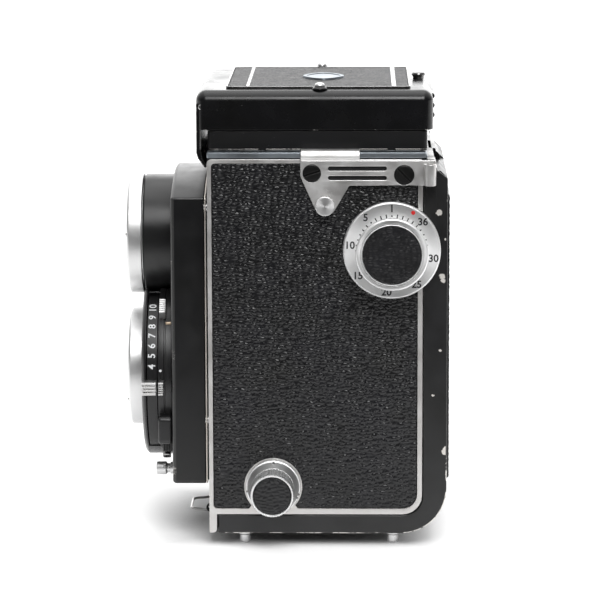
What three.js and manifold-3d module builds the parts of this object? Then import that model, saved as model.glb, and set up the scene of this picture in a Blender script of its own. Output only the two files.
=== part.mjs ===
// Twin lens reflex camera for 120 roll film, as an assembly of separate pieces.
// Millimetres. +Z is up, -Y is the way the lenses look, +X is the user's left. The origin is on the
// ground under the middle of the camera's box.
import * as THREE from 'three';
import { mergeVertices } from 'three/addons/utils/BufferGeometryUtils.js';
import Module from 'manifold-3d';

const wasm = await Module();
wasm.setup();

// ---- Driving dimensions. Depths (y) are counted backwards from the front plane of the body. ----
const LENS_REACH = 26;            // front plane to the front of the filter bayonets
const BODY_DEPTH = 72.6;          // front plane to the back of the door
const BACK_LEATHER = 0.9;         // how far the back's leather stands out from the door
const SHELL_BACK = 65.1;          // where the cast shell ends and the door begins
const SHELL_HALF = 37.8;          // half width of the cast shell
const TRIM_IN = 38.1;             // side trim and leather lie between these two distances
const TRIM_OUT = 39;
const CHAMBER_HALF = 33.2;        // half width of the film chambers
const SKIN = 1.3;                 // thickness of the sheet covers
const GAP = 0.3;                  // clearance between neighbouring pieces

const DOOR_BOTTOM = 4;            // height of the camera's underside above the ground
const SHELL_BOTTOM = 10;
const SHELL_TOP = 119.5;
const DECK_TOP = 121.5;
const BASE_TOP = 127.7;           // where the lid of the hood sits on its base
const LID_TOP = 139.9;

const VIEW_Z = 91.4;              // the two lens axes
const TAKE_Z = 49.4;
const BAYONET_R = 18.8;
const STANDARD_FRONT = -11.5;
const STANDARD_BACK = -1.3;
const STANDARD_HALF = 33;
const STANDARD_BOTTOM = 18.1;
const SHUTTER_R = 28.3;
const GUIDE_RODS = [[31.5, 104], [-31.5, 104], [31.5, 38], [-31.5, 38]];   // x and z

const TAKEUP = [55.7, 92.3];      // spool axes, y and z
const SUPPLY = [19.6, 18.7];
const FOCUS = [12, 64.8];
const KNOB_FACE = 52;             // the outermost face of a side knob
const DIAL_R = 14.8;
const FLANGE_R = 12.6;
const SPOOL_HALF = 32.4;

const LID_HINGE = [-1.8, 134.9];  // hinge axes along x, as y and z
const BAIL_PIVOT = [-1, 5.6];
const DOOR_HINGE = [68.6, 116.4];

// ---- Solids: every helper returns a manifold-3d solid. ----

function solid(geometry) {
  const bare = geometry.clone();
  bare.deleteAttribute('normal');
  bare.deleteAttribute('uv');
  const merged = mergeVertices(bare, 1e-4);
  const index = [...merged.index.array];
  const triangles = [];
  for (let i = 0; i < index.length; i += 3) {
    const [a, b, c] = index.slice(i, i + 3);
    if (a !== b && b !== c && c !== a) triangles.push(a, b, c);
  }
  const vertProperties = merged.attributes.position.array;
  const build = (triVerts) => new wasm.Manifold(new wasm.Mesh({ numProp: 3, vertProperties, triVerts }));
  const made = build(new Uint32Array(triangles));
  return made.volume() > 0 ? made : build(new Uint32Array(triangles.reverse()));
}

function cut(body, ...tools) {
  return tools.reduce((left, tool) => left.subtract(tool), body);
}

function join(...pieces) {
  return pieces.reduce((whole, piece) => whole.add(piece));
}

function box([x0, x1], [y0, y1], [z0, z1]) {
  const block = new THREE.BoxGeometry(x1 - x0, y1 - y0, z1 - z0);
  return solid(block.translate((x0 + x1) / 2, (y0 + y1) / 2, (z0 + z1) / 2));
}

// An outline through corners [a, b, radius], each rounded by an arc where it has a radius.
function outline(corners) {
  const shape = new THREE.Shape();
  corners.forEach(([x, y, r = 0], i) => {
    const corner = new THREE.Vector2(x, y);
    if (!r) {
      i ? shape.lineTo(x, y) : shape.moveTo(x, y);
      return;
    }
    const before = corners.at(i - 1);
    const after = corners[(i + 1) % corners.length];
    const d1 = new THREE.Vector2(before[0], before[1]).sub(corner).normalize();
    const d2 = new THREE.Vector2(after[0], after[1]).sub(corner).normalize();
    const half = Math.acos(THREE.MathUtils.clamp(d1.dot(d2), -1, 1)) / 2;
    const start = corner.clone().addScaledVector(d1, r / Math.tan(half));
    const end = corner.clone().addScaledVector(d2, r / Math.tan(half));
    const centre = corner.clone().addScaledVector(d1.clone().add(d2).normalize(), r / Math.sin(half));
    const angle = (p) => Math.atan2(p.y - centre.y, p.x - centre.x);
    i ? shape.lineTo(start.x, start.y) : shape.moveTo(start.x, start.y);
    shape.absarc(centre.x, centre.y, r, angle(start), angle(end), d1.cross(d2) > 0);
  });
  shape.closePath();
  return shape;
}

function rectangle([a0, a1], [b0, b1], r = 0) {
  return outline([[a0, b0, r], [a1, b0, r], [a1, b1, r], [a0, b1, r]]);
}

const AXES = {
  x: new THREE.Matrix4().makeBasis(
    new THREE.Vector3(0, 1, 0), new THREE.Vector3(0, 0, 1), new THREE.Vector3(1, 0, 0)),
  y: new THREE.Matrix4().makeBasis(
    new THREE.Vector3(0, 0, 1), new THREE.Vector3(1, 0, 0), new THREE.Vector3(0, 1, 0)),
  z: new THREE.Matrix4(),
};

// A prism along an axis. The shape is drawn in (y, z) for x, in (z, x) for y and in (x, y) for z.
function prism(axis, shape, [from, to], curveSegments = 5) {
  const options = { depth: to - from, bevelEnabled: false, curveSegments };
  const geometry = new THREE.ExtrudeGeometry(shape, options).translate(0, 0, from);
  return solid(geometry.applyMatrix4(AXES[axis]));
}

// A solid of revolution: profile points are [radius, distance along the axis]. centre is given in
// the two coordinates across the axis, in the order that prism uses.
function turned(axis, [a, b], profile, segments = 28) {
  const points = profile.map(([r, t]) => new THREE.Vector2(r, t));
  const geometry = new THREE.LatheGeometry(points, segments).rotateX(Math.PI / 2);
  return solid(geometry.translate(a, b, 0).applyMatrix4(AXES[axis]));
}

function rod(axis, centre, r, [from, to], segments = 20) {
  return turned(axis, centre, [[0, from], [r, from], [r, to], [0, to]], segments);
}

function tube(axis, centre, inner, outer, [from, to], segments = 28) {
  const profile = [[inner, from], [outer, from], [outer, to], [inner, to], [inner, from]];
  return turned(axis, centre, profile, segments);
}

// A wedge about the taking axis between two angles, counted upwards from the user's left.
function sector(from, to, depth) {
  const [steps, reach] = [6, 45];
  const rim = Array.from({ length: steps + 1 }, (_, i) => {
    const angle = THREE.MathUtils.degToRad(from + ((to - from) * i) / steps);
    return [TAKE_Z + reach * Math.sin(angle), reach * Math.cos(angle)];
  });
  return prism('y', outline([[TAKE_Z, 0], ...rim]), [depth[0] - 1, depth[1] + 1]);
}

// ---- The assembly ----

const camera = new THREE.Group();
camera.position.y = (LENS_REACH - BODY_DEPTH - BACK_LEATHER) / 2;

function material(color, roughness, metalness) {
  return new THREE.MeshStandardMaterial({ color, roughness, metalness });
}

const BLACK_ENAMEL = material(0x16171a, 0.35, 0.1);
const BLACK_SATIN = material(0x1b1b1d, 0.55, 0.1);
const BLACK_INSIDE = material(0x101010, 0.9, 0);
const LEATHERETTE = material(0x1c1c1e, 0.7, 0);
const SATIN_CHROME = material(0xcfcdc8, 0.35, 0.9);
const BRIGHT_CHROME = material(0xdcdcda, 0.18, 1);
const GLASS = material(0x8f9bb0, 0.05, 0);
const MIRROR = material(0xe8ecee, 0.03, 1);
const STEEL = material(0x8e8e8c, 0.4, 0.9);

function add(name, finish, shape) {
  const { numProp, vertProperties, triVerts } = shape.getMesh();
  const geometry = new THREE.BufferGeometry();
  const positions = new Float32Array(triVerts.length * 3);
  triVerts.forEach((v, i) => {
    positions.set(vertProperties.subarray(v * numProp, v * numProp + 3), i * 3);
  });
  geometry.setAttribute('position', new THREE.BufferAttribute(positions, 3));
  geometry.computeVertexNormals();
  const mesh = new THREE.Mesh(geometry, finish);
  mesh.name = name;
  camera.add(mesh);
}

// A span along x, turned over for the user's right side.
function sideSpan(side, from, to) {
  return side > 0 ? [from, to] : [-to, -from];
}

function shell() {
  const FRONT_WALL = 1.8;
  const LENS_HOLE_R = 15;
  const SCREEN_SEAT = 117;         // the mirror box narrows here to hold the focusing screen
  const across = [-CHAMBER_HALF, CHAMBER_HALF];
  const side = outline([
    [0, DOOR_BOTTOM + GAP], [2.4, DOOR_BOTTOM + GAP], [2.4, SHELL_BOTTOM], [SHELL_BACK, SHELL_BOTTOM, 6],
    [SHELL_BACK, SHELL_TOP], [0, SHELL_TOP],
  ]);
  // The light widens from the lens to the film in a square frustum, given by its corner radii.
  const [CONE_FRONT, CONE_REAR, CONE_DEPTH] = [12.7, 39, 64];
  const lightCone = new THREE.CylinderGeometry(CONE_REAR, CONE_FRONT, CONE_DEPTH, 4, 1, false, Math.PI / 4)
    .translate(0, FRONT_WALL + CONE_DEPTH / 2, TAKE_Z);
  const mirrorBox = outline([
    [FRONT_WALL, SCREEN_SEAT], [FRONT_WALL, 69.5], [11.7, 69.5], [55.3, 113.1], [59, SCREEN_SEAT],
  ]);
  const bailBearing = (from) => join(
    rod('x', BAIL_PIVOT, 1.3, [from, from + 1.8], 14),
    box([from, from + 1.8], [BAIL_PIVOT[0], 0.5], [BAIL_PIVOT[1] - 1.3, BAIL_PIVOT[1] + 1.3]),
  );
  return cut(
    join(prism('x', side, [-SHELL_HALF, SHELL_HALF]), bailBearing(-12.3), bailBearing(10.5)),
    rod('x', BAIL_PIVOT, 0.7, [-14, 14], 12),
    solid(lightCone),
    rod('y', [VIEW_Z, 0], LENS_HOLE_R, [-1, FRONT_WALL + 1]),
    rod('y', [TAKE_Z, 0], LENS_HOLE_R, [-1, 7]),
    prism('x', mirrorBox, [-29.5, 29.5]),
    box([-27, 27], [4.5, 58.5], [SCREEN_SEAT - 1, SHELL_TOP + 1]),
    // supply chamber, open at the bottom
    rod('x', SUPPLY, FLANGE_R + 0.9, across),
    box(across, [SUPPLY[0] - 13.5, SUPPLY[0] + 13.5], [0, SUPPLY[1]]),
    // take-up chamber, open at the back
    rod('x', TAKEUP, FLANGE_R + 0.6, across),
    box(across, [TAKEUP[0], SHELL_BACK + 1], [TAKEUP[1] - 13.2, TAKEUP[1] + 13.2]),
    // film path along the bottom and up the back
    box(across, [SUPPLY[0], SHELL_BACK + 1], [0, 13]),
    box(across, [55.5, SHELL_BACK + 1], [0, 21]),
    box(across, [62, SHELL_BACK + 1], [12, TAKEUP[1]]),
    // bores for the knob shafts
    rod('x', TAKEUP, 3.4, [-SHELL_HALF - 1, SHELL_HALF + 1]),
    rod('x', SUPPLY, 3.4, [-SHELL_HALF - 1, SHELL_HALF + 1]),
    rod('x', FOCUS, 2.3, [-SHELL_HALF - 1, 36]),
    ...GUIDE_RODS.map(([x, z]) => rod('y', [z, x], 1.8, [-1, 18], 10)),
  );
}

// The side trim is a flat frame with a foot at the front and a seat round the supply knob.
function sideTrim(side) {
  const frame = outline([
    [0, SHELL_TOP, 1.4], [0, DOOR_BOTTOM + 0.2], [2.3, DOOR_BOTTOM + 0.2, 1.2], [2.3, SHELL_BOTTOM],
    [SHELL_BACK, SHELL_BOTTOM, 6], [SHELL_BACK, SHELL_TOP, 0.8],
  ]);
  const window = outline([[1.3, 11.8, 1.2], [63.6, 11.8, 4.5], [63.6, 118.3, 1.2], [1.3, 118.3, 1.2]]);
  const span = sideSpan(side, TRIM_IN, TRIM_OUT);
  const seat = outline([
    [SUPPLY[0] - 10, 11], [SUPPLY[0] + 10, 11], [SUPPLY[0] + 10, 11.8, 0.4], [SUPPLY[0] + 8.4, 13.6],
    [SUPPLY[0] - 8.4, 13.6], [SUPPLY[0] - 10, 11.8, 0.4],
  ]);
  return cut(
    join(
      cut(prism('x', frame, span), prism('x', window, span)),
      prism('x', seat, span),
      rod('x', SUPPLY, 8.9, span, 40),
    ),
    rod('x', SUPPLY, 3.4, [span[0] - 1, span[1] + 1]),
  );
}

function sideLeather(side) {
  const span = sideSpan(side, TRIM_IN, TRIM_OUT - 0.2);
  const wide = [span[0] - 1, span[1] + 1];
  const panel = outline([
    [1.6, 12.1, 1], [63.3, 12.1, 4.2], [63.3, 118, 1], [1.6, 118, 1],
  ]);
  const notch = outline([
    [SUPPLY[0] - 10.8, 11], [SUPPLY[0] + 10.8, 11], [SUPPLY[0] + 8.9, 13.9], [SUPPLY[0] - 8.9, 13.9],
  ]);
  const holes = [rod('x', SUPPLY, 9.3, wide, 40), rod('x', TAKEUP, 3.6, wide, 24), prism('x', notch, wide)];
  if (side < 0) holes.push(rod('x', FOCUS, 3, wide, 24));
  return cut(prism('x', panel, span), ...holes);
}

function body() {
  add('body_shell', BLACK_INSIDE, shell());
  for (const [end, side] of [['left', 1], ['right', -1]]) {
    add(`side_trim_${end}`, SATIN_CHROME, sideTrim(side));
    add(`side_leather_${end}`, LEATHERETTE, sideLeather(side));
  }
  const deckSide = outline([
    [0, SHELL_TOP + GAP], [65.4, SHELL_TOP + GAP], [66.9, SHELL_TOP + 0.9], [65.8, DECK_TOP], [0, DECK_TOP],
  ]);
  add('top_deck', SATIN_CHROME, cut(
    prism('x', deckSide, [-38.6, 38.6]),
    box([-28.5, 28.5], [3, 60], [SHELL_TOP, DECK_TOP + 1]),
  ));
  const screen = [SHELL_TOP + GAP, DECK_TOP - 0.3];
  add('focusing_screen', GLASS, box([-28.2, 28.2], [3.3, 59.7], screen));
  add('hood_base', BLACK_ENAMEL, cut(
    prism('z', rectangle([-36, 36], [0.1, 66.4], 2), [DECK_TOP + GAP, BASE_TOP], 4),
    prism('z', rectangle([-30, 30], [4, 62], 2), [DECK_TOP, BASE_TOP + 1], 4),
  ));
  // The mirror's face runs at 45 degrees through the crossing of the view axis and the screen's middle.
  const MIRROR_Y = 31;
  const [low, high, thick] = [19.8, 20.3, 1.5 * Math.SQRT1_2];
  const mirror = outline([
    [MIRROR_Y - low, VIEW_Z - low], [MIRROR_Y + high, VIEW_Z + high],
    [MIRROR_Y + high + thick, VIEW_Z + high - thick], [MIRROR_Y - low + thick, VIEW_Z - low - thick],
  ]);
  add('reflex_mirror', MIRROR, prism('x', mirror, [-28, 28]));
  add('film_gate', BLACK_SATIN, cut(
    join(
      box([-32.8, 32.8], [62.3, 64.2], [21.3, 78.9]),
      box([-31.5, -29.5], [64, 64.9], [21.3, 78.9]),
      box([29.5, 31.5], [64, 64.9], [21.3, 78.9]),
    ),
    box([-28, 28], [62, 65], [TAKE_Z - 27, TAKE_Z + 27.8]),
  ));
  const shieldSide = outline([
    [-1.9, 132.8], [-3.3, 132.8, 0.4], [-3.3, 121, 4], [-0.6, 116.4], [-0.3, 117.6], [-1.9, 121.5, 3],
  ]);
  const KNUCKLE_R = 1.6;
  // The hinge pin of the lid is fixed in the middle knuckle of the shield.
  add('hood_front_shield', BLACK_ENAMEL, join(
    prism('x', shieldSide, [-35, 35], 4),
    box([-26, 26], [-3.3, -1.9], [131, LID_HINGE[1]]),
    rod('x', LID_HINGE, KNUCKLE_R, [-26, 26], 12),
    rod('x', LID_HINGE, 0.85, [-35.5, 35.5], 10),
  ));
  add('door_hinge_pin', STEEL, rod('x', DOOR_HINGE, 0.8, [-38.4, 38.4], 10));
  add('door_hinge_cover', BLACK_ENAMEL, cut(
    join(
      box([-38.6, 38.6], [66.2, 68.6], [118.7, 119.4]),
      tube('x', DOOR_HINGE, 1.1, 2.3, [-10, 10], 12),
      box([-10, 10], [67.4, 69.6], [118, 119.4]),
    ),
    rod('x', DOOR_HINGE, 1.1, [-11, 11], 10),
  ));
}

function strapPlate(end, side) {
  const PLATE_IN = TRIM_OUT + GAP;
  const PLATE_OUT = PLATE_IN + 1;
  const span = sideSpan(side, PLATE_IN, PLATE_OUT);
  const wide = [span[0] - 2, span[1] + 2];
  const STUD = [35.6, 105.8];
  const plate = outline([
    [28.2, 119.4], [28.2, 114.5, 1], [33.3, 102.8, 3], [37.9, 102.8, 3], [42.9, 111.7, 0.8],
    [69, 111.7, 0.8], [69, 119.4, 0.8],
  ]);
  const slot = (z) => prism('x', rectangle([36.5, 54.2], [z - 0.65, z + 0.65], 0.6), wide, 3);
  const hook = sideSpan(side, PLATE_OUT - 0.6, PLATE_OUT + 2.6);
  const hookHole = sideSpan(side, PLATE_OUT + 0.2, PLATE_OUT + 1.6);
  const base = cut(
    join(
      prism('x', plate, span, 4),
      box(span, [28.4, 46.1], [119, 122.3]),
      box(sideSpan(side, 36.4, PLATE_OUT), [28.4, 46.1], [121.8, 122.3]),
      box(hook, [65.4, 69], [111.9, 119.2]),
    ),
    slot(116.8), slot(114),
    box(hookHole, [64, 70], [113.2, 117.9]),
  );
  const screwHead = (y, z, r) => rod('x', [y, z], r, sideSpan(side, PLATE_OUT - 0.2, PLATE_OUT + 0.5), 24);
  const stem = rod('x', STUD, 1.9, sideSpan(side, PLATE_OUT - 0.2, PLATE_OUT + 2.5), 24);
  const button = rod('x', STUD, 2.9, sideSpan(side, PLATE_OUT + 1.8, PLATE_OUT + 3.4), 24);
  // The screws and the strap stud are driven through the plate and are one solid with it here.
  add(`strap_plate_${end}`, BRIGHT_CHROME, join(
    base, screwHead(31.65, 115.4, 2.6), screwHead(59.4, 114.9, 2.9), stem, button,
  ));
}

// ---- Lens standard: a hollow front plate that carries both lenses and moves to focus ----

function standard() {
  const [APEX, SHOULDER] = [112.9, 107];
  const rise = APEX - SHOULDER;
  const archR = (STANDARD_HALF ** 2 + rise ** 2) / (2 * rise);
  const face = (inset) => {
    const half = STANDARD_HALF - inset;
    const r = archR - inset;
    const sweep = Math.asin(half / r);
    const centre = APEX - archR;
    const shape = new THREE.Shape();
    shape.moveTo(STANDARD_BOTTOM + inset, -half);
    shape.lineTo(centre + r * Math.cos(sweep), -half);
    shape.absarc(centre, 0, r, -sweep, sweep);
    shape.lineTo(STANDARD_BOTTOM + inset, half);
    shape.closePath();
    return shape;
  };
  const WALL = 1.5;
  const side = outline([
    [STANDARD_FRONT, STANDARD_BOTTOM, 2.4], [STANDARD_BACK, STANDARD_BOTTOM], [STANDARD_BACK, 120],
    [STANDARD_FRONT, 120],
  ]);
  const LENS_SEAT_R = 14.4;
  const guideRod = ([x, z]) => rod('y', [z, x], 1.4, [STANDARD_BACK - 4, 14], 10);
  return join(cut(
    prism('y', face(0), [STANDARD_FRONT, STANDARD_BACK], 12).intersect(
      prism('x', side, [-STANDARD_HALF - 1, STANDARD_HALF + 1]),
    ),
    prism('y', face(WALL), [STANDARD_FRONT + WALL + 0.6, STANDARD_BACK + 1], 12),
    rod('y', [VIEW_Z, 0], LENS_SEAT_R, [STANDARD_FRONT - 1, STANDARD_BACK]),
    rod('y', [TAKE_Z, 0], LENS_SEAT_R, [STANDARD_FRONT - 1, STANDARD_BACK]),
  ), ...GUIDE_RODS.map(guideRod));
}

function lensStandard() {
  add('front_standard', BLACK_SATIN, standard());
  const seat = STANDARD_FRONT - GAP;
  const BARREL_FRONT = -21.1;
  add('viewing_barrel', BLACK_ENAMEL, turned('y', [VIEW_Z, 0], [
    [13.4, BARREL_FRONT], [18.5, BARREL_FRONT], [18.5, -18.2], [17.6, -17.6], [17.6, -16], [18.6, -15.4],
    [18.6, seat], [14, seat], [14, -5], [12.4, -5], [12.4, -13], [13.4, -13.4], [13.4, BARREL_FRONT],
  ], 32));
  add('viewing_lens', GLASS, turned('y', [VIEW_Z, 0], [
    [0, -20.4], [6, -19.9], [10, -18.8], [13.1, -17.3], [13.1, -14], [0, -14],
  ], 20));
  // The rim of the shutter gives way to the viewing barrel, and has a groove for the scale on the left.
  const CASE_INNER_R = 11;
  const groove = [-19.8, -16.1];
  const rimWall = cut(tube('y', [TAKE_Z, 0], SHUTTER_R - 0.4, SHUTTER_R, groove), sector(-8, 112, groove));
  add('shutter_case', BLACK_ENAMEL, cut(
    join(
      turned('y', [TAKE_Z, 0], [
        [CASE_INNER_R, -21.2], [26.6, -21.2], [28, -20.3], [28, groove[0]], [24.6, groove[0]],
        [24.6, groove[1]], [SHUTTER_R, groove[1]], [SHUTTER_R, seat], [14, seat], [14, -9.3],
        [CASE_INNER_R, -9.3], [CASE_INNER_R, -21.2],
      ], 40),
      rimWall,
      box([21, 30.4], [groove[1], seat], [29.8, 38.6]),
      box([19.2, 23.6], [-15, seat], [26, 30]),
    ),
    rod('y', [TAKE_Z, 0], CASE_INNER_R, [-17, -8], 40),
    rod('y', [VIEW_Z, 0], BAYONET_R + 0.2, [-22, -8], 32),
  ));
  add('ev_scale', BLACK_SATIN, tube('y', [TAKE_Z, 0], 24.9, SHUTTER_R - 0.7, [-19.5, -16.4], 40).intersect(
    sector(-7, 60, groove),
  ));
  for (const [name, z, inner] of [['viewing', VIEW_Z, 15.6], ['taking', TAKE_Z, 15.6]]) {
    add(`${name}_bayonet`, BRIGHT_CHROME, turned('y', [z, 0], [
      [inner, -21.5], [inner, -25.2], [16.2, -LENS_REACH], [18.2, -LENS_REACH], [BAYONET_R, -25.5],
      [BAYONET_R, -21.5], [inner, -21.5],
    ], 32));
  }
  add('taking_lens', GLASS, turned('y', [TAKE_Z, 0], [
    [0, -20.8], [5, -20.4], [8, -19.6], [10.7, -18.5], [10.7, -15], [0, -15],
  ], 20));
  add('taking_rear_cell', BLACK_SATIN, tube('y', [TAKE_Z, 0], 8.6, 10.6, [-13, 5], 20));
  add('taking_rear_lens', GLASS, turned('y', [TAKE_Z, 0], [
    [0, -3], [8.3, -3], [8.3, 1.5], [5, 2.6], [0, 3.2],
  ], 18));
  const SOCKET = [18.9, 14];
  add('flash_socket', SATIN_CHROME, turned('y', SOCKET, [
    [0, -14.5], [1.2, -14.5], [1.2, -17.6], [2, -17.6], [2, -14.6], [1.4, -14.2], [1.4, -13.4], [1.8, -13],
    [1.8, seat], [0, seat],
  ], 14));
}

// A thumb tab that stands on the rim of the shutter at an angle above the user's left.
function rimTab(angle, [inner, outer], depth, width, grooves) {
  const [from, to] = depth;
  const tab = box([inner, outer], depth, [-width / 2, width / 2]);
  const pitch = width / (grooves + 1);
  const teeth = Array.from({ length: grooves }, (_, i) => {
    const z = -width / 2 + pitch * (i + 1);
    return box([outer - 0.4, outer + 1], [from - 1, to + 1], [z - 0.15, z + 0.15]);
  });
  return cut(tab, ...teeth).rotate([0, -angle, 0]).translate([0, 0, TAKE_Z]);
}

function shutterLevers() {
  const tabs = [SHUTTER_R + 0.3, 31.6];
  add('ev_lever', BRIGHT_CHROME, rimTab(-3.4, tabs, [-20.9, -16.6], 4, 1));
  add('speed_lever', BRIGHT_CHROME, rimTab(-3.4, tabs, [-15.8, -14.3], 4, 4));
  add('aperture_lever', BRIGHT_CHROME, rimTab(45.6, tabs, [-15.8, -13.9], 5.2, 6));
  add('cocking_lever', BRIGHT_CHROME, rimTab(-57.5, [SHUTTER_R + 0.3, 30.9], [-15.5, -13], 3, 0));
}

// ---- Knobs and spools ----

function spool() {
  return [
    [0, -24], [3.2, -24], [3.2, -SPOOL_HALF], [FLANGE_R, -SPOOL_HALF], [FLANGE_R, -31.2], [6, -31.2],
    [6, 31.2], [FLANGE_R, 31.2], [FLANGE_R, SPOOL_HALF], [3.2, SPOOL_HALF], [3.2, 24], [0, 24],
  ];
}

function knobs() {
  const KNOB_BACK = TRIM_OUT + 0.7;
  const RECESS = 0.5;              // the leather inlay lies this deep in a knob
  add('takeup_spool', BLACK_SATIN, turned('x', TAKEUP, spool(), 18));
  add('supply_spool', BLACK_SATIN, turned('x', SUPPLY, spool(), 18));
  add('counter_dial', SATIN_CHROME, turned('x', TAKEUP, [
    [3.3, KNOB_BACK], [DIAL_R - 0.4, KNOB_BACK], [DIAL_R, KNOB_BACK + 0.6], [DIAL_R, 42.4],
    [DIAL_R - 0.6, 43], [3.3, 43], [3.3, KNOB_BACK],
  ], 36));
  add('counter_knob', SATIN_CHROME, turned('x', TAKEUP, [
    [0, 26], [2.8, 26], [2.8, 43.3], [10.8, 43.3], [10.6, 45], [9.7, 46.5], [9.7, KNOB_FACE - 0.4],
    [9.3, KNOB_FACE], [8.6, KNOB_FACE], [8.6, KNOB_FACE - RECESS], [0, KNOB_FACE - RECESS],
  ], 32));
  add('supply_bezel', SATIN_CHROME, turned('x', SUPPLY, [
    [3.4, TRIM_OUT + GAP], [8.65, TRIM_OUT + GAP], [8.65, 40.4], [7.2, 43], [3.4, 43],
    [3.4, TRIM_OUT + GAP],
  ], 28));
  add('supply_knob', SATIN_CHROME, turned('x', SUPPLY, [
    [0, 26], [2.8, 26], [2.8, 43.3], [6.4, 43.3], [6.9, 44], [6.9, KNOB_FACE - 0.5], [6.6, KNOB_FACE],
    [5.8, KNOB_FACE], [5.8, KNOB_FACE - RECESS], [0, KNOB_FACE - RECESS],
  ], 28));
  add('winding_knob', SATIN_CHROME, turned('x', TAKEUP, [
    [0, -KNOB_FACE], [11.6, -KNOB_FACE], [12.4, -KNOB_FACE + 0.8], [12.4, -43.5], [13.6, -42.6],
    [13.6, -KNOB_BACK], [2.8, -KNOB_BACK], [2.8, -26], [0, -26],
  ], 32));
  add('focus_knob', SATIN_CHROME, turned('x', FOCUS, [
    [0, -50], [12.6, -50], [13.6, -49], [13.6, -43.6], [15.4, -42.6], [15.4, -KNOB_BACK], [1.9, -KNOB_BACK],
    [1.9, 35], [0, 35],
  ], 32));
  add('supply_pivot', STEEL, turned('x', SUPPLY, [
    [0, -42.6], [5.6, -42.6], [6.2, -42], [6.2, -TRIM_OUT - GAP], [3, -TRIM_OUT - GAP], [3, -35],
    [2.8, -26], [0, -26],
  ], 20));
  for (const [name, centre, r] of [['lower', [60.4, 17.4], 2.6], ['upper', [64.6, 81], 1.5]]) {
    add(`film_roller_${name}`, STEEL, join(
      rod('x', centre, r, [-30.6, 30.6], 12),
      rod('x', centre, 0.8, [-32.9, 32.9], 8),
    ));
  }
}

// ---- Back door: an L-shaped pan hinged at the top of the back and latched at the bottom front ----

function backDoor() {
  const half = TRIM_OUT;
  const [front, back, corner] = [2.7, BODY_DEPTH, 14];
  const seam = [SHELL_BACK + GAP, SHELL_BOTTOM - GAP];
  const outer = outline([
    [front, DOOR_BOTTOM], [back, DOOR_BOTTOM, corner], [back, 113.6], [69.6, 116.1], [seam[0], 116.1],
    [seam[0], seam[1], 6.3], [front, seam[1]],
  ]);
  const inner = outline([
    [front + SKIN, DOOR_BOTTOM + SKIN], [back - SKIN, DOOR_BOTTOM + SKIN, corner - SKIN],
    [back - SKIN, 111.5], [seam[0] - 2, 111.5], [seam[0] - 2, seam[1] + 4], [front + SKIN, seam[1] + 4],
  ]);
  const SOCKET = [0, 38];
  add('back_door', BLACK_ENAMEL, cut(
    prism('x', outer, [-half, half], 10),
    prism('x', inner, [-half + SKIN, half - SKIN], 10),
    rod('x', DOOR_HINGE, 1.1, [-half - 1, half + 1], 10),
    box([-10.4, 10.4], [60, back + 1], [113.9, 117]),
    box([-half - 1, half + 1], [60, DOOR_HINGE[0] + 2.6], [DOOR_HINGE[1] + 0.9, 118]),
    rod('z', SOCKET, 5.3, [DOOR_BOTTOM - 1, DOOR_BOTTOM + 3], 20),
  ));
  const panel = rectangle([-34, 34], [20, 108], 2);
  const leather = prism('z', panel, [-BODY_DEPTH - BACK_LEATHER, -BODY_DEPTH - GAP], 4);
  add('back_leather', LEATHERETTE, leather.rotate([90, 0, 0]));
  add('pressure_plate', BLACK_SATIN, box([-32, 32], [66.6, 67.6], [20, 79]));
  add('tripod_socket', SATIN_CHROME, turned('z', SOCKET, [
    [3.2, 2.4], [8.5, 2.4], [8.5, DOOR_BOTTOM - GAP], [5, DOOR_BOTTOM - GAP], [5, 9], [0, 9],
    [0, 8.2], [3.2, 8.2], [3.2, 2.4],
  ], 24));
  for (const [row, y] of [['front', 10.7], ['rear', 56.2]]) {
    for (const [end, x] of [['left', 33.5], ['right', -33.5]]) {
      add(`foot_${row}_${end}`, SATIN_CHROME, turned('z', [x, y], [
        [0, 0], [1.1, 0], [1.7, 0.5], [1.75, 2.6], [2.3, 3.1],
        [2.3, DOOR_BOTTOM - GAP], [0, DOOR_BOTTOM - GAP],
      ], 12));
    }
  }
}

function latch() {
  const BAIL_HALF = 9.5;
  const [pivotY, z] = BAIL_PIVOT;
  const [tipY, r] = [-7.6, 0.45];
  const wire = outline([
    [-BAIL_HALF - r, pivotY], [-BAIL_HALF - r, tipY, 2.6], [BAIL_HALF + r, tipY, 2.6],
    [BAIL_HALF + r, pivotY], [BAIL_HALF - r, pivotY], [BAIL_HALF - r, tipY + 2 * r, 1.7],
    [-BAIL_HALF + r, tipY + 2 * r, 1.7], [-BAIL_HALF + r, pivotY],
  ]);
  add('latch_bail', STEEL, join(
    prism('z', wire, [z - r, z + r], 6),
    rod('x', [pivotY, z], r, [-BAIL_HALF - 2.4, -BAIL_HALF], 8),
    rod('x', [pivotY, z], r, [BAIL_HALF, BAIL_HALF + 2.4], 8),
  ));
}

// ---- Folding hood ----

function lidForm(inset) {
  const [y0, y1, half, top] = [0.1 + inset, 68.2 - inset, 36.3 - inset, LID_TOP - inset];
  const bottom = BASE_TOP + GAP - (inset ? 1 : 0);
  const side = outline([[y0, bottom], [y1, bottom], [y1, top, 3.2 - inset], [y0, top, 3.2 - inset]]);
  const front = outline([
    [bottom, -half], [top, -half, 4.4 - inset], [top, half, 4.4 - inset], [bottom, half],
  ]);
  return prism('x', side, [-half, half], 5).intersect(prism('y', front, [y0, y1], 5));
}

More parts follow.
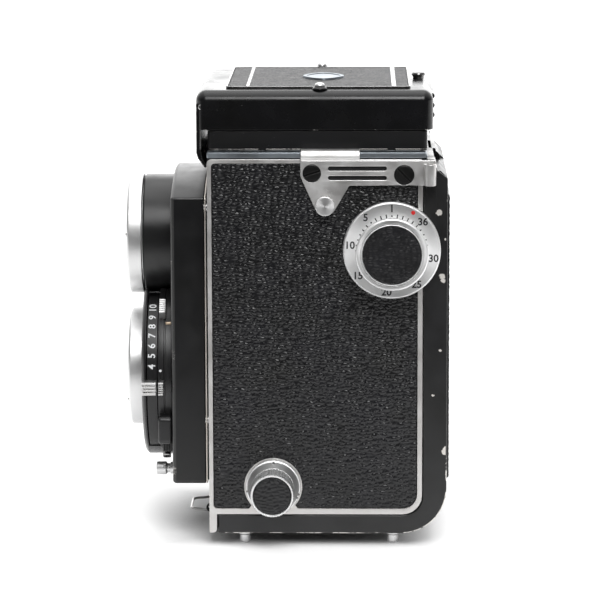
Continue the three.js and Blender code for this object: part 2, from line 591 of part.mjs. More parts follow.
function hood() {
  const lug = (side) => join(
    rod('x', LID_HINGE, 1.6, sideSpan(side, 27.5, 34), 20),
    box(sideSpan(side, 27.5, 34), [LID_HINGE[0], 0.6], [LID_HINGE[1] - 1, LID_HINGE[1] + 1]),
  );
  add('hood_lid', BLACK_ENAMEL, cut(
    join(lidForm(0).subtract(lidForm(SKIN)), lug(1), lug(-1)),
    rod('x', LID_HINGE, 1.15, [-36, 36], 10),
  ));
  const LEATHER = [LID_TOP + 0.15, LID_TOP + 0.75];
  add('lid_leather', LEATHERETTE, prism('z', rectangle([-30.4, 30.4], [6, 61], 2), LEATHER, 5));
  for (const [end, x] of [['left', 32.6], ['right', -32.6]]) {
    add(`lid_stud_${end}`, SATIN_CHROME, turned('z', [x - Math.sign(x) * 0.6, 34], [
      [0, LID_TOP + 0.1], [1.5, LID_TOP + 0.1], [1.5, 141], [1.3, 141.6], [0.6, 142], [0, 142],
    ], 12));
  }
  add('lid_catch', STEEL, turned('z', [0, 64.3], [
    [0, LID_TOP + 0.1], [1.7, LID_TOP + 0.1], [1.7, 140.8], [2.1, 141.2], [1.8, 141.9], [0, 142],
  ], 14));
  add('magnifier_frame', BLACK_SATIN, cut(
    join(
      prism('z', rectangle([-14, 14], [24, 56], 3), [135.4, 136.6], 4),
      box([-10, 10], [52.5, 56], [136, LID_TOP - SKIN - GAP]),
    ),
    rod('z', [0, 38], 11.6, [135, 137], 24),
  ));
  add('magnifier_lens', GLASS, turned('z', [0, 38], [
    [0, 134.9], [6, 135.1], [11.3, 135.7], [11.3, 136.3], [6, 136.9], [0, 137.1],
  ], 20));
  // The side leaves are cut away at the front, where the lid's front wall swings, and at the rear, beside
  // the rear leaf.
  const LEAF = { x: 34, z: 129, front: 6.2, rear: 62, height: 31.5, r: 0.8, t: 0.35 };
  for (const [end, side] of [['left', 1], ['right', -1]]) {
    const at = (y, rho) => [side * (LEAF.x - rho), y];
    const plate = outline([
      at(LEAF.front, 0), at(LEAF.front, 19), at(13, LEAF.height),
      at(33.7, LEAF.height), at(LEAF.rear, 3.2), at(LEAF.rear, 0),
    ]);
    add(`hood_leaf_${end}`, BLACK_SATIN, join(
      prism('z', plate, [LEAF.z - LEAF.t, LEAF.z + LEAF.t]),
      rod('y', [LEAF.z, side * LEAF.x], LEAF.r, [LEAF.front, LEAF.rear], 10),
    ));
  }
  const REAR = { y: 64, z: 131, height: 31, half: 31 };
  const rearPlate = rectangle([-REAR.half, REAR.half], [REAR.y - REAR.height, REAR.y]);
  add('hood_leaf_rear', BLACK_SATIN, join(
    prism('z', rearPlate, [REAR.z - LEAF.t, REAR.z + LEAF.t]),
    rod('x', [REAR.y, REAR.z], LEAF.r, [-REAR.half, REAR.half], 10),
  ));
}

body();
strapPlate('left', 1);
strapPlate('right', -1);
lensStandard();
shutterLevers();
knobs();
backDoor();
latch();
hood();

export default camera;
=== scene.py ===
"""Twin lens reflex camera: the looks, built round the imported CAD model.

Shapes are written in millimetres as (x, u, z). u is counted backwards from the body's front plane,
z upwards from the ground, and +x is the user's left.
"""
from math import acos, asin, atan2, copysign, cos, pi, radians, sin, sqrt, tan

import bmesh
import bpy
import numpy as np
from mathutils import Matrix, Vector
from mathutils.geometry import tessellate_polygon


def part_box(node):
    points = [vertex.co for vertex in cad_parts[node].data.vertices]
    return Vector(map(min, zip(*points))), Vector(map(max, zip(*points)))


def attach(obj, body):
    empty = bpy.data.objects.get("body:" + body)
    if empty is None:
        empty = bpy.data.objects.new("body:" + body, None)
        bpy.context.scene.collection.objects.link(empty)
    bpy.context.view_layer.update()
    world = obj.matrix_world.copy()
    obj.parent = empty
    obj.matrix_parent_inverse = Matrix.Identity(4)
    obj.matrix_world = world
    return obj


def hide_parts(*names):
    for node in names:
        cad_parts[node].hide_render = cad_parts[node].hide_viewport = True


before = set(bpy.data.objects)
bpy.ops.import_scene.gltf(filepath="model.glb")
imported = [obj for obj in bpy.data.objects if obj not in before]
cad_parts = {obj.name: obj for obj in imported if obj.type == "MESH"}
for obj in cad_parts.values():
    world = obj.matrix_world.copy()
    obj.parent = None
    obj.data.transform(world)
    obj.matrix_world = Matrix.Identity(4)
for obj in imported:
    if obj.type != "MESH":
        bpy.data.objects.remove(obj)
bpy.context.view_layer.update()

MM = 0.001
TAU = 2 * pi
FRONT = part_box("side_trim_left")[0].y / MM     # where u is 0


class Span:
    """A CAD node's box in mm."""

    def __init__(self, node):
        low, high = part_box(node)
        self.x0, self.u0, self.z0 = low.x / MM, low.y / MM - FRONT, low.z / MM
        self.x1, self.u1, self.z1 = high.x / MM, high.y / MM - FRONT, high.z / MM
        self.x, self.u, self.z = (self.x0 + self.x1) / 2, (self.u0 + self.u1) / 2, (self.z0 + self.z1) / 2


TRIM = Span("side_trim_left")
DECK = Span("top_deck")
BASE = Span("hood_base")
LID = Span("hood_lid")
LID_LEATHER = Span("lid_leather")
DOOR = Span("back_door")
BACK = Span("back_leather")
STANDARD = Span("front_standard")
VIEW = Span("viewing_bayonet")
TAKE = Span("taking_bayonet")
BARREL = Span("viewing_barrel")
SCALE = Span("ev_scale")
DIAL = Span("counter_dial")
KNOB = Span("counter_knob")
BEZEL = Span("supply_bezel")
CAP = Span("supply_knob")
PIVOT = Span("supply_pivot")
WINDER = Span("winding_knob")
FOCUS = Span("focus_knob")

# ---- Materials ----


class Nodes:
    """Short ways to make the nodes of a material or of the world."""

    def __init__(self, tree, coordinates):
        self.tree = tree
        self.place = tree.nodes.new("ShaderNodeTexCoord").outputs[coordinates]

    def node(self, kind, inputs, output=0, **settings):
        made = self.tree.nodes.new("ShaderNode" + kind)
        for key, value in settings.items():
            setattr(made, key, value)
        for key, value in inputs.items():
            if isinstance(value, bpy.types.NodeSocket):
                self.tree.links.new(value, made.inputs[key])
            else:
                made.inputs[key].default_value = value
        return made.outputs[output]

    def stretched(self, x, y, z):
        return self.node("Mapping", {"Vector": self.place, "Scale": (x, y, z)})

    def noise(self, size, detail=3, rough=0.5):
        """Noise with features of about that size in mm."""
        inputs = {"Vector": self.place, "Scale": 1 / (size * MM), "Detail": detail, "Roughness": rough}
        return self.node("TexNoise", inputs)

    def cells(self, size, where=None, feature="F1"):
        inputs = {"Vector": where or self.place, "Scale": 1 / (size * MM)}
        return self.node("TexVoronoi", inputs, feature=feature)

    def ramp(self, value, low, high, to_low=0.0, to_high=1.0):
        inputs = {"Value": value, "From Min": low, "From Max": high, "To Min": to_low, "To Max": to_high}
        return self.node("MapRange", inputs)

    def math(self, operation, a, b=0.0):
        return self.node("Math", {0: a, 1: b}, operation=operation)

    def mix(self, factor, a, b):
        return self.node("Mix", {0: factor, 6: a, 7: b}, 2, data_type="RGBA")

    def bump(self, height, depth, after=None):
        inputs = {"Height": height, "Strength": 1.0, "Distance": depth * MM}
        if after:
            inputs["Normal"] = after
        return self.node("Bump", inputs)


class Shader(Nodes):
    """A material with a Principled shader."""

    def __init__(self, name, **values):
        self.material = bpy.data.materials.new(name)
        self.material.use_nodes = True
        super().__init__(self.material.node_tree, "Object")
        self.surface = self.tree.nodes["Principled BSDF"]
        for key, value in values.items():
            self.surface.inputs[key.replace("_", " ")].default_value = value

    def link(self, value, socket):
        self.tree.links.new(value, self.surface.inputs[socket])

    def rub_through(self, through, shade, bare, rough, bare_rough):
        """Paint of one shade, with bare metal where through is 1."""
        self.link(self.mix(through, grey(shade), bare), "Base Color")
        self.link(through, "Metallic")
        self.link(self.ramp(through, 0, 1, rough, bare_rough), "Roughness")
        self.link(self.bump(through, -0.02), "Normal")
        return self.material

    def patches(self, coarse, fine):
        """Broken patches, from noise of two sizes in mm."""
        return self.math("ADD", self.math("MULTIPLY", self.noise(coarse, 3), 0.6),
                         self.math("MULTIPLY", self.noise(fine, 4, rough=0.7), 0.4))


def grey(value, blue=0.0):
    return (value, value, value + blue, 1)


def enamel(name, shade, rough, texture=0.0, dust=0.0, **values):
    """Black paint: faint orange peel, handling marks, and a little dust."""
    s = Shader(name, **{"IOR": 1.5, **values})
    smudge = s.noise(9, 4, rough=0.6)
    s.link(s.ramp(smudge, 0.35, 0.7, rough - 0.05, rough + 0.08), "Roughness")
    tone = s.mix(s.ramp(s.noise(14, 2), 0.3, 0.7), grey(shade * 0.85), grey(shade * 1.2, 0.001))
    if dust:
        speck = s.math("LESS_THAN", s.cells(1.3), dust)
        sparse = s.math("MULTIPLY", speck, s.math("GREATER_THAN", s.noise(4, 2), 0.52))
        tone = s.mix(sparse, tone, grey(0.3))
    s.link(tone, "Base Color")
    peel = s.bump(s.noise(0.8, 2), 0.004)
    if texture:
        peel = s.bump(s.noise(0.28, 3, rough=0.7), texture, after=peel)
    s.link(peel, "Normal")
    return s.material


def metal(name, shade, rough, brush=None, warm=0.0, marks=0.25, depth=0.004):
    """Plated or bare metal, brushed along one axis ('x', 'y' or 'z') or satin all over."""
    s = Shader(name, Metallic=1.0)
    long, fine = 9.0, 0.16
    if brush:
        scale = [1 / fine] * 3
        scale["xyz".index(brush)] = 1 / long
        grain = s.node("TexNoise", {"Vector": s.stretched(*scale), "Scale": 1 / MM, "Detail": 2})
    else:
        grain = s.noise(0.22, 3, rough=0.65)
    blotch = s.noise(7, 4, rough=0.6)
    worn = s.math("ADD", s.math("MULTIPLY", grain, marks), s.math("MULTIPLY", blotch, 1 - marks))
    s.link(s.ramp(worn, 0.35, 0.65, rough - 0.07, rough + 0.09), "Roughness")
    light = (shade, shade - warm * 0.5, shade - warm, 1)
    dark = (shade * 0.86, (shade - warm * 0.5) * 0.85, (shade - warm) * 0.84, 1)
    s.link(s.mix(s.ramp(blotch, 0.35, 0.68), dark, light), "Base Color")
    s.link(s.bump(grain, depth), "Normal")
    return s.material


def turned_metal(name, shade, rough, axis="X", turn=0.7):
    """Metal with the fine rings of a lathe round an axis."""
    s = Shader(name, Metallic=1.0, Anisotropic=turn)
    blotch = s.noise(6, 3, rough=0.5)
    s.link(s.ramp(blotch, 0.3, 0.7, rough - 0.03, rough + 0.04), "Roughness")
    s.link(s.mix(s.ramp(blotch, 0.35, 0.7), grey(shade * 0.92), grey(shade)), "Base Color")
    s.link(s.node("Tangent", {}, direction_type="RADIAL", axis=axis), "Tangent")
    return s.material


def worn_edge(name, shade, rough, bare, metal_shade=0.62):
    """Paint that is rubbed through to the metal in broken patches. bare is the share that shows."""
    s = Shader(name)
    limit = 0.62 - 0.24 * bare
    through = s.ramp(s.patches(4.8, 0.6), limit, limit + 0.03)
    under = (metal_shade, metal_shade * 0.97, metal_shade * 0.93, 1)
    return s.rub_through(through, shade, under, rough, 0.38)


def leather(name, shade, rough):
    """Leatherette: the pebbles are in the mesh, and the fine grain between them is bump."""
    s = Shader(name, IOR=1.5)
    wrinkle = s.cells(0.35, s.stretched(1, 0.7, 1.3), "DISTANCE_TO_EDGE")
    grain = s.noise(0.12, 2)
    tone = s.mix(s.ramp(s.noise(12, 3), 0.3, 0.7), grey(shade * 0.8), grey(shade * 1.3, 0.002))
    s.link(s.mix(s.ramp(grain, 0.55, 0.75, 0, 0.35), tone, grey(shade * 2.2, 0.003)), "Base Color")
    s.link(s.ramp(s.noise(3, 3), 0.3, 0.7, rough - 0.05, rough + 0.06), "Roughness")
    s.link(s.bump(grain, 0.003, after=s.bump(s.ramp(wrinkle, 0, 0.12), 0.006)), "Normal")
    return s.material


def glass(name, tint, film=0.0, rough=0.0):
    s = Shader(name, Transmission_Weight=1.0, IOR=1.52, Roughness=rough, Thin_Film_Thickness=film,
               Thin_Film_IOR=1.38)
    s.link(s.mix(s.ramp(s.noise(8, 2), 0.3, 0.7), tint, tuple(min(1, c * 1.04) for c in tint)), "Base Color")
    return s.material


def ink(name, colour):
    """Paint in the engraved figures."""
    s = Shader(name)
    s.link(s.mix(s.ramp(s.noise(0.5, 3), 0.35, 0.7), colour, tuple(c * 0.75 for c in colour[:3]) + (1,)),
           "Base Color")
    s.link(s.ramp(s.noise(0.8, 2), 0.3, 0.7, 0.45, 0.6), "Roughness")
    return s.material


GLOSS = enamel("black enamel", 0.004, 0.25, dust=0.03, IOR=1.42)
CRINKLE = enamel("black crackle paint", 0.003, 0.55, texture=0.03, dust=0.04, Specular_IOR_Level=0.3)
SATIN = enamel("satin black paint", 0.004, 0.33, texture=0.003, dust=0.015)
BARREL_BLACK = enamel("black anodised metal", 0.007, 0.34, texture=0.002)
SHUTTER_BLACK = enamel("shutter black", 0.012, 0.3, texture=0.002, dust=0.02)
INSIDE = enamel("matte black inside", 0.012, 0.8, texture=0.02)
PLASTIC = enamel("black spool", 0.02, 0.45, texture=0.006)
EDGE_LID = worn_edge("rubbed hood edge", 0.012, 0.3, 0.12)
EDGE_STANDARD = worn_edge("rubbed standard edge", 0.03, 0.4, 0.1, metal_shade=0.3)
TRIM_SILVER = metal("satin side trim", 0.74, 0.46, brush="z", warm=0.02, marks=0.15, depth=0.002)
BARE_PLATE = metal("bare plate edge", 0.9, 0.5, warm=0.12, depth=0.001)
DECK_SILVER = metal("satin deck", 0.34, 0.42, warm=-0.07, depth=0.002)
PLATE_SILVER = metal("brushed strap plate", 0.84, 0.44, brush="y", warm=0.01, marks=0.2, depth=0.0015)
CHROME = metal("bright chrome", 0.82, 0.14, warm=0.01, marks=0.4, depth=0.001)
BAYONET = turned_metal("turned chrome", 0.74, 0.4, "Y", 0.0)
KNOB_SILVER = turned_metal("turned satin silver", 0.9, 0.46, turn=0.6)
PIN_SILVER = turned_metal("turned pin silver", 0.8, 0.3, "Z")
TAB_SILVER = metal("tab silver", 0.82, 0.3, brush="y", depth=0.001)
STEEL = metal("bare steel", 0.5, 0.34, brush="x", warm=0.01)
DARK_STEEL = metal("dark chrome", 0.22, 0.25)
BLACK_SCREW = metal("blackened screw", 0.05, 0.35)
SIDE_LEATHER = leather("side leatherette", 0.005, 0.26)
LID_GRAIN = leather("lid leatherette", 0.03, 0.5)
INLAY_GRAIN = leather("knob leatherette", 0.006, 0.34)
COATED = glass("coated glass", (0.93, 0.95, 1.0, 1), film=430)
CLEAR = glass("clear glass", (0.98, 1.0, 0.99, 1))
GROUND_GLASS = glass("ground glass", (0.9, 0.92, 0.91, 1), rough=0.45)
MIRROR_FACE = metal("front-silvered mirror", 0.93, 0.08, marks=0.1, depth=0.0)
BLACK_INK = ink("black figures", (0.012, 0.012, 0.014, 1))
WHITE_INK = ink("white figures", (0.86, 0.87, 0.88, 1))
RED_INK = ink("red dot", (0.75, 0.02, 0.02, 1))

# ---- Shapes: each is (points, faces, material index of each face) ----


def place(axis, a, b, t):
    """A point at distance t along an axis. (a, b) is (u, z) across x, (z, x) across y, (x, u) across z."""
    return {"x": (t, a, b), "y": (b, t, a), "z": (a, b, t)}[axis]


def rounded(points, steps=6):
    """A closed line through points (a, b[, radius]) with its corners turned into arcs."""
    made = []
    for i, point in enumerate(points):
        corner = np.array(point[:2], float)
        radius = point[2] if len(point) > 2 else 0
        if not radius:
            made.append(tuple(corner))
            continue
        before = np.array(points[i - 1][:2], float) - corner
        after = np.array(points[(i + 1) % len(points)][:2], float) - corner
        before, after = before / np.linalg.norm(before), after / np.linalg.norm(after)
        half = acos(np.clip(before @ after, -1, 1)) / 2
        middle = before + after
        centre = corner + middle / np.linalg.norm(middle) * radius / sin(half)
        start = corner + before * radius / tan(half) - centre
        end = corner + after * radius / tan(half) - centre
        first = atan2(start[1], start[0])
        sweep = (atan2(end[1], end[0]) - first + pi) % TAU - pi
        for k in range(steps + 1):
            angle = first + sweep * k / steps
            made.append(tuple(centre + radius * np.array((cos(angle), sin(angle)))))
    return made


def rectangle(a0, a1, b0, b1, radius=0.0, steps=5):
    return rounded([(a0, b0, radius), (a1, b0, radius), (a1, b1, radius), (a0, b1, radius)], steps=steps)


def circle(a, b, radius, count=48, first=0.0, last=TAU):
    """Points of a circle, or of an arc if it doesn't go all the way round."""
    whole = abs(last - first) >= TAU - 1e-6
    steps = count if whole else count - 1
    angles = [first + (last - first) * k / steps for k in range(count)]
    return [(a + radius * cos(x), b + radius * sin(x)) for x in angles]


def turn_way(loop, left):
    """The loop with its inside on the left, or on the right."""
    p = np.array(loop)
    q = np.roll(p, -1, 0)
    area = float((p[:, 0] * q[:, 1] - q[:, 0] * p[:, 1]).sum())
    return p if (area > 0) == left else p[::-1]


def shifted(loop, distance):
    """The loop moved to its left by a distance, with mitred corners."""
    before = loop - np.roll(loop, 1, 0)
    after = np.roll(loop, -1, 0) - loop
    before /= np.maximum(np.linalg.norm(before, axis=1, keepdims=True), 1e-9)
    after /= np.maximum(np.linalg.norm(after, axis=1, keepdims=True), 1e-9)
    n1 = np.stack([-before[:, 1], before[:, 0]], 1)
    n2 = np.stack([-after[:, 1], after[:, 0]], 1)
    return loop + distance * (n1 + n2) / np.maximum(1 + (n1 * n2).sum(1, keepdims=True), 0.2)


def prism(axis, loops, span, edge=0.15, steps=2, mark=0, far_edge=None):
    """A plate through loops[0], with the other loops as holes. Its edges are rounded by edge."""
    loops = [turn_way(loop, i == 0) for i, loop in enumerate(loops)]
    t0, t1 = span
    low = min(edge, (t1 - t0) / 2.01)
    high = low if far_edge is None else far_edge
    turns = [k / steps * pi / 2 for k in range(steps + 1)] if edge else [pi / 2]
    near = [(low * (1 - sin(x)), t0 + low * (1 - cos(x))) for x in turns]
    away = [(high * (1 - sin(x)), t1 - high * (1 - cos(x))) for x in turns]
    levels = near + away[::-1]
    rows = [[shifted(loop, inset) if inset else loop for loop in loops] for inset, _ in levels]
    count = sum(len(loop) for loop in loops)
    points = [place(axis, a, b, t) for row, (_, t) in zip(rows, levels) for loop in row for a, b in loop]
    faces, marks = [], []
    for level in (0, len(levels) - 1):
        flat = [[Vector((a, b, 0)) for a, b in loop] for loop in rows[level]]
        for triangle in tessellate_polygon(flat):
            faces.append(tuple(level * count + i for i in triangle))
            marks.append(0)
    for level in range(len(levels) - 1):
        wall = level == len(near) - 1
        first = 0
        for loop in loops:
            n = len(loop)
            for i in range(n):
                a, b = level * count + first + i, level * count + first + (i + 1) % n
                faces.append((a, b, b + count, a + count))
                marks.append(0 if wall else mark)
            first += n
    return points, faces, marks


def lathe(axis, centre, profile, segments=96, relief=None):
    """A solid of revolution. The profile is a line through (radius, distance along the axis)."""
    closed = tuple(profile[0]) == tuple(profile[-1])
    line = profile[:-1] if closed else profile
    points, rows = [], []
    for r, t in line:
        row = []
        for k in range(1 if r < 1e-6 else segments):
            angle = TAU * k / segments
            reach = r + (relief(angle, r, t) if relief else 0)
            row.append(len(points))
            a, b = centre[0] + reach * cos(angle), centre[1] + reach * sin(angle)
            points.append(place(axis, a, b, t))
        rows.append(row)
    faces = []
    for p, q in list(zip(rows, rows[1:])) + ([(rows[-1], rows[0])] if closed else []):
        if len(p) == 1 and len(q) == 1:
            continue
        for k in range(segments):
            n = (k + 1) % segments
            if len(p) == 1:
                faces.append((p[0], q[k], q[n]))
            elif len(q) == 1:
                faces.append((p[k], q[0], p[n]))
            else:
                faces.append((p[k], q[k], q[n], p[n]))
    return points, faces, [0] * len(faces)


def turned(axis, centre, profile, segments=96, relief=None):
    """lathe with the profile's corners rounded where they carry a radius."""
    closed = tuple(profile[0][:2]) == tuple(profile[-1][:2])
    corners = profile[:-1] if closed else profile
    line = rounded(corners, steps=3)
    return lathe(axis, centre, line + [line[0]] if closed else line, segments, relief)


def rod(axis, centre, r, span, edge=0.15, segments=48):
    t0, t1 = span
    return turned(axis, centre, [(0, t0), (r, t0, edge), (r, t1, edge), (0, t1)], segments)


def ring(axis, centre, inner, outer, span, edge=0.15):
    t0, t1 = span
    corners = [(inner, t0, edge), (outer, t0, edge), (outer, t1, edge), (inner, t1, edge), (inner, t0, edge)]
    return turned(axis, centre, corners)


def loft(loops, wall_marks=None):
    """A skin over loops of points with the same count, closed at both ends."""
    count = len(loops[0])
    points = [tuple(p) for loop in loops for p in loop]
    faces, marks = [], []
    for level in range(len(loops) - 1):
        for i in range(count):
            a, b = level * count + i, level * count + (i + 1) % count
            faces.append((a, b, b + count, a + count))
            marks.append(wall_marks[level] if wall_marks else 0)
    for start in (0, (len(loops) - 1) * count):
        faces.append(tuple(range(start, start + count)))
        marks.append(0)
    return points, faces, marks


def wire(path, r, sides):
    """A round wire along a path."""
    path = np.array(path, float)
    ahead = np.roll(path, -1, 0) - np.roll(path, 1, 0)
    ahead[0], ahead[-1] = path[1] - path[0], path[-1] - path[-2]
    ahead /= np.linalg.norm(ahead, axis=1, keepdims=True)
    side = np.cross(ahead[0], (0.3, 0.2, 0.93))
    loops = []
    for point, way in zip(path, ahead):
        side = side - way * (side @ way)
        side /= np.linalg.norm(side)
        other = np.cross(way, side)
        turns = [TAU * k / sides for k in range(sides)]
        loops.append([point + r * (cos(x) * side + sin(x) * other) for x in turns])
    return loft(loops)


def merged(*shapes):
    points, faces, marks = [], [], []
    for p, f, m in shapes:
        first = len(points)
        points += [tuple(x) for x in p]
        faces += [tuple(first + i for i in face) for face in f]
        marks += m
    return points, faces, marks


def moved(shape, change):
    return [change(*p) for p in shape[0]], shape[1], shape[2]


def mirrored(shape, side):
    return moved(shape, lambda x, u, z: (side * x, u, z)) if side < 0 else shape


def lettering(text, size, bold=0.0):
    """Figures as a thin solid: (points as along, up, out; faces). bold widens each stroke on both sides."""
    lift = 0.04
    curve = bpy.data.curves.new("figures", "FONT")
    curve.body, curve.size, curve.extrude, curve.offset = text, size, lift / 2, bold
    curve.align_x, curve.align_y = "CENTER", "CENTER"
    curve.resolution_u = 4
    holder = bpy.data.objects.new("figures", curve)
    bpy.context.scene.collection.objects.link(holder)
    mesh = holder.evaluated_get(bpy.context.evaluated_depsgraph_get()).to_mesh()
    points = [(v.co.x, v.co.y, v.co.z + lift / 2) for v in mesh.vertices]
    faces = [tuple(p.vertices) for p in mesh.polygons]
    bpy.data.objects.remove(holder)
    return points, faces, [0] * len(faces)


def piece(name, body, shape, finishes, replaces=(), crease=40, even=True):
    """Makes the mesh, gives it its finish and lets it ride on its body."""
    points, faces, marks = shape
    mesh = bpy.data.meshes.new(name)
    at = np.array(points, float)
    at[:, 1] += FRONT
    mesh.from_pydata((at * MM).tolist(), [], faces)
    finishes = finishes if isinstance(finishes, (list, tuple)) else [finishes]
    for finish in finishes:
        mesh.materials.append(finish)
    mesh.polygons.foreach_set("material_index", marks)
    work = bmesh.new()
    work.from_mesh(mesh)
    bmesh.ops.remove_doubles(work, verts=work.verts, dist=1e-7)
    bmesh.ops.recalc_face_normals(work, faces=work.faces)
    work.to_mesh(mesh)
    work.free()
    mesh.polygons.foreach_set("use_smooth", [True] * len(mesh.polygons))
    mesh.set_sharp_from_angle(angle=radians(crease))
    made = bpy.data.objects.new(name, mesh)
    bpy.context.scene.collection.objects.link(made)
    if even:
        normals = made.modifiers.new("normals", "WEIGHTED_NORMAL")
        normals.keep_sharp = True
    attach(made, body)
    if replaces:
        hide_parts(*replaces)
    return made


def cover(name, body, sheet, finish, replaces=()):
    """A piece of leatherette. It has no sharp edges."""
    piece(name, body, sheet, finish, replaces, crease=180, even=False)


def markings(name, body, shapes, finish):
    piece(name, body, merged(*shapes), finish, even=False)


# ---- Leather grain ----


def pebbles(a, b, seed, wide, tall):
    """Irregular pebbles, from 0 in the creases to 1 on top, at points a and b in mm."""
    random = np.random.default_rng(seed)
    warp = lattice(a, b, random, 3.5) - 0.5
    a, b = a + 0.9 * warp, b + 0.7 * (lattice(a, b, random, 2.8) - 0.5)
    p, q = a / wide, b / tall
    i0, j0 = int(np.floor(p.min())) - 2, int(np.floor(q.min())) - 2
    size = (int(np.ceil(p.max())) - i0 + 3, int(np.ceil(q.max())) - j0 + 3)
    jitter = random.random((*size, 2))
    height = 0.6 + 0.4 * random.random(size)
    i, j = np.floor(p).astype(int) - i0, np.floor(q).astype(int) - j0
    near, next_near = np.full(p.shape, 9.0), np.full(p.shape, 9.0)
    top = np.zeros(p.shape)
    for di in (-1, 0, 1):
        for dj in (-1, 0, 1):
            m, n = i + di, j + dj
            far = np.hypot(m + i0 + jitter[m, n, 0] - p, n + j0 + jitter[m, n, 1] - q)
            closer = far < near
            next_near = np.where(closer, near, np.minimum(next_near, far))
            top = np.where(closer, height[m, n], top)
            near = np.minimum(near, far)
    return top * (1 - np.clip(near * 1.15, 0, 1) ** 2) * np.clip((next_near - near) * 3, 0, 1)


def lattice(a, b, random, size):
    """Smooth noise from 0 to 1 with features of a size in mm."""
    p, q = a / size, b / size
    i0, j0 = int(np.floor(p.min())), int(np.floor(q.min()))
    grid = random.random((int(p.max()) - i0 + 3, int(q.max()) - j0 + 3))
    i, j = np.floor(p).astype(int), np.floor(q).astype(int)
    s, t = p - i, q - j
    s, t = s * s * (3 - 2 * s), t * t * (3 - 2 * t)
    i, j = i - i0, j - j0
    low = grid[i, j] * (1 - s) + grid[i + 1, j] * s
    high = grid[i, j + 1] * (1 - s) + grid[i + 1, j + 1] * s
    return low * (1 - t) + high * t


def leather_panel(axis, outline, floor, top, seed, pitch=0.205, relief=0.31, wide=1.8, tall=1.08, sign=1):
    """A sheet of leatherette inside an outline, from floor to top along the axis."""
    loop = np.array(outline)
    q0, q1 = loop[:, 1].min(), loop[:, 1].max()
    rows = int((q1 - q0) / pitch)
    columns = int((loop[:, 0].max() - loop[:, 0].min()) / pitch)
    heights = np.linspace(q0 + 1e-4, q1 - 1e-4, rows)
    ends = []
    for q in heights:
        after = np.roll(loop, -1, 0)
        crosses = (loop[:, 1] <= q) != (after[:, 1] <= q)
        p, r = loop[crosses], after[crosses]
        found = p[:, 0] + (q - p[:, 1]) / (r[:, 1] - p[:, 1]) * (r[:, 0] - p[:, 0])
        ends.append((found.min(), found.max()))
    ends = np.array(ends)
    share = np.linspace(0, 1, columns)
    a = ends[:, :1] + (ends[:, 1:] - ends[:, :1]) * share
    b = np.repeat(heights[:, None], columns, 1)
    rim = np.minimum(np.minimum(a - ends[:, :1], ends[:, 1:] - a), np.minimum(b - q0, q1 - b))
    rim = np.clip(rim / 0.5, 0, 1) ** 0.5
    random = np.random.default_rng(seed + 100)
    height = pebbles(a, b, seed, wide, tall) + 0.15 * lattice(a, b, random, 0.7)
    out = top - sign * (relief * 1.15 * (1 - np.clip(height, 0, 1.15) / 1.15) + 0.25 * (1 - rim))
    points = [place(axis, *v) for v in zip(a.ravel(), b.ravel(), out.ravel())]
    faces = []
    for j in range(rows - 1):
        start = j * columns
        faces += [(start + i, start + i + 1, start + columns + i + 1, start + columns + i)
                  for i in range(columns - 1)]
    left = len(points)
    points += [place(axis, e[0], q, floor) for e, q in zip(ends, heights)]
    points += [place(axis, e[1], q, floor) for e, q in zip(ends, heights)]
    right = left + rows
    for j in range(rows - 1):
        start, end = j * columns, j * columns + columns - 1
        faces.append((start, start + columns, left + j + 1, left + j))
        faces.append((end + columns, end, right + j, right + j + 1))
        faces.append((left + j, left + j + 1, right + j + 1, right + j))
    faces.append((left, right) + tuple(range(columns - 1, -1, -1)))
    last = (rows - 1) * columns
    faces.append((right + rows - 1, left + rows - 1) + tuple(range(last, last + columns)))
    return points, faces, [0] * len(faces)


def inlay(name, body, centre, radius, floor, top, seed):
    """A disc of leatherette in the face of a side knob, from floor to top along x."""
    sign = 1 if top > floor else -1
    sheet = leather_panel("x", circle(*centre, radius, 96), floor, top, seed, 0.22, 0.2, sign=sign)
    cover(name, body, sheet, INLAY_GRAIN)


# ---- Body ----

SIDE_IN, SIDE_OUT = TRIM.x0, TRIM.x1
SUPPLY = (BEZEL.u, BEZEL.z)
TAKEUP = (DIAL.u, DIAL.z)
FOCUS_AXIS = (FOCUS.u, FOCUS.z)
BAND = 1.5              # width of the trim's bars

window = rounded([
    (TRIM.u0 + 1.3, TRIM.z1 - 1.2, 1.2), (TRIM.u0 + 1.3, 11.8, 1.2), (SUPPLY[0] - 7.5, 11.8, 0.7),
    *circle(*SUPPLY, 8.9, 40, radians(221), radians(-41)),
    (SUPPLY[0] + 7.5, 11.8, 0.7), (TRIM.u1 - BAND, 11.8, 4.5),
    (TRIM.u1 - BAND, TRIM.z1 - 1.2, 1.2),
])
trim_outline = rounded([
    (TRIM.u0, TRIM.z1, 1.4), (TRIM.u0, TRIM.z0, 0.3), (TRIM.u0 + 2.3, TRIM.z0, 1.2), (TRIM.u0 + 2.3, 10, 0.3),
    (TRIM.u1, 10, 6), (TRIM.u1, TRIM.z1, 0.8),
])
panel = rounded([
    (TRIM.u0 + 1.35, 11.85, 1.1), (TRIM.u1 - BAND - 0.05, 11.85, 4.4),
    (TRIM.u1 - BAND - 0.05, TRIM.z1 - 1.25, 1.1), (TRIM.u0 + 1.35, TRIM.z1 - 1.25, 1.1),
])
for side, end in ((1, "left"), (-1, "right")):
    trim = prism("x", [trim_outline, window], (SIDE_IN, SIDE_OUT), 0.14)
    piece(f"side_frame_{end}", "body", mirrored(trim, side), TRIM_SILVER,
          [f"side_trim_{end}"])
    sheet = leather_panel("x", panel, SIDE_IN + 0.05, SIDE_OUT - 0.02, 11 + side)
    cover(f"side_cover_{end}", "body", mirrored(sheet, side), SIDE_LEATHER, [f"side_leather_{end}"])

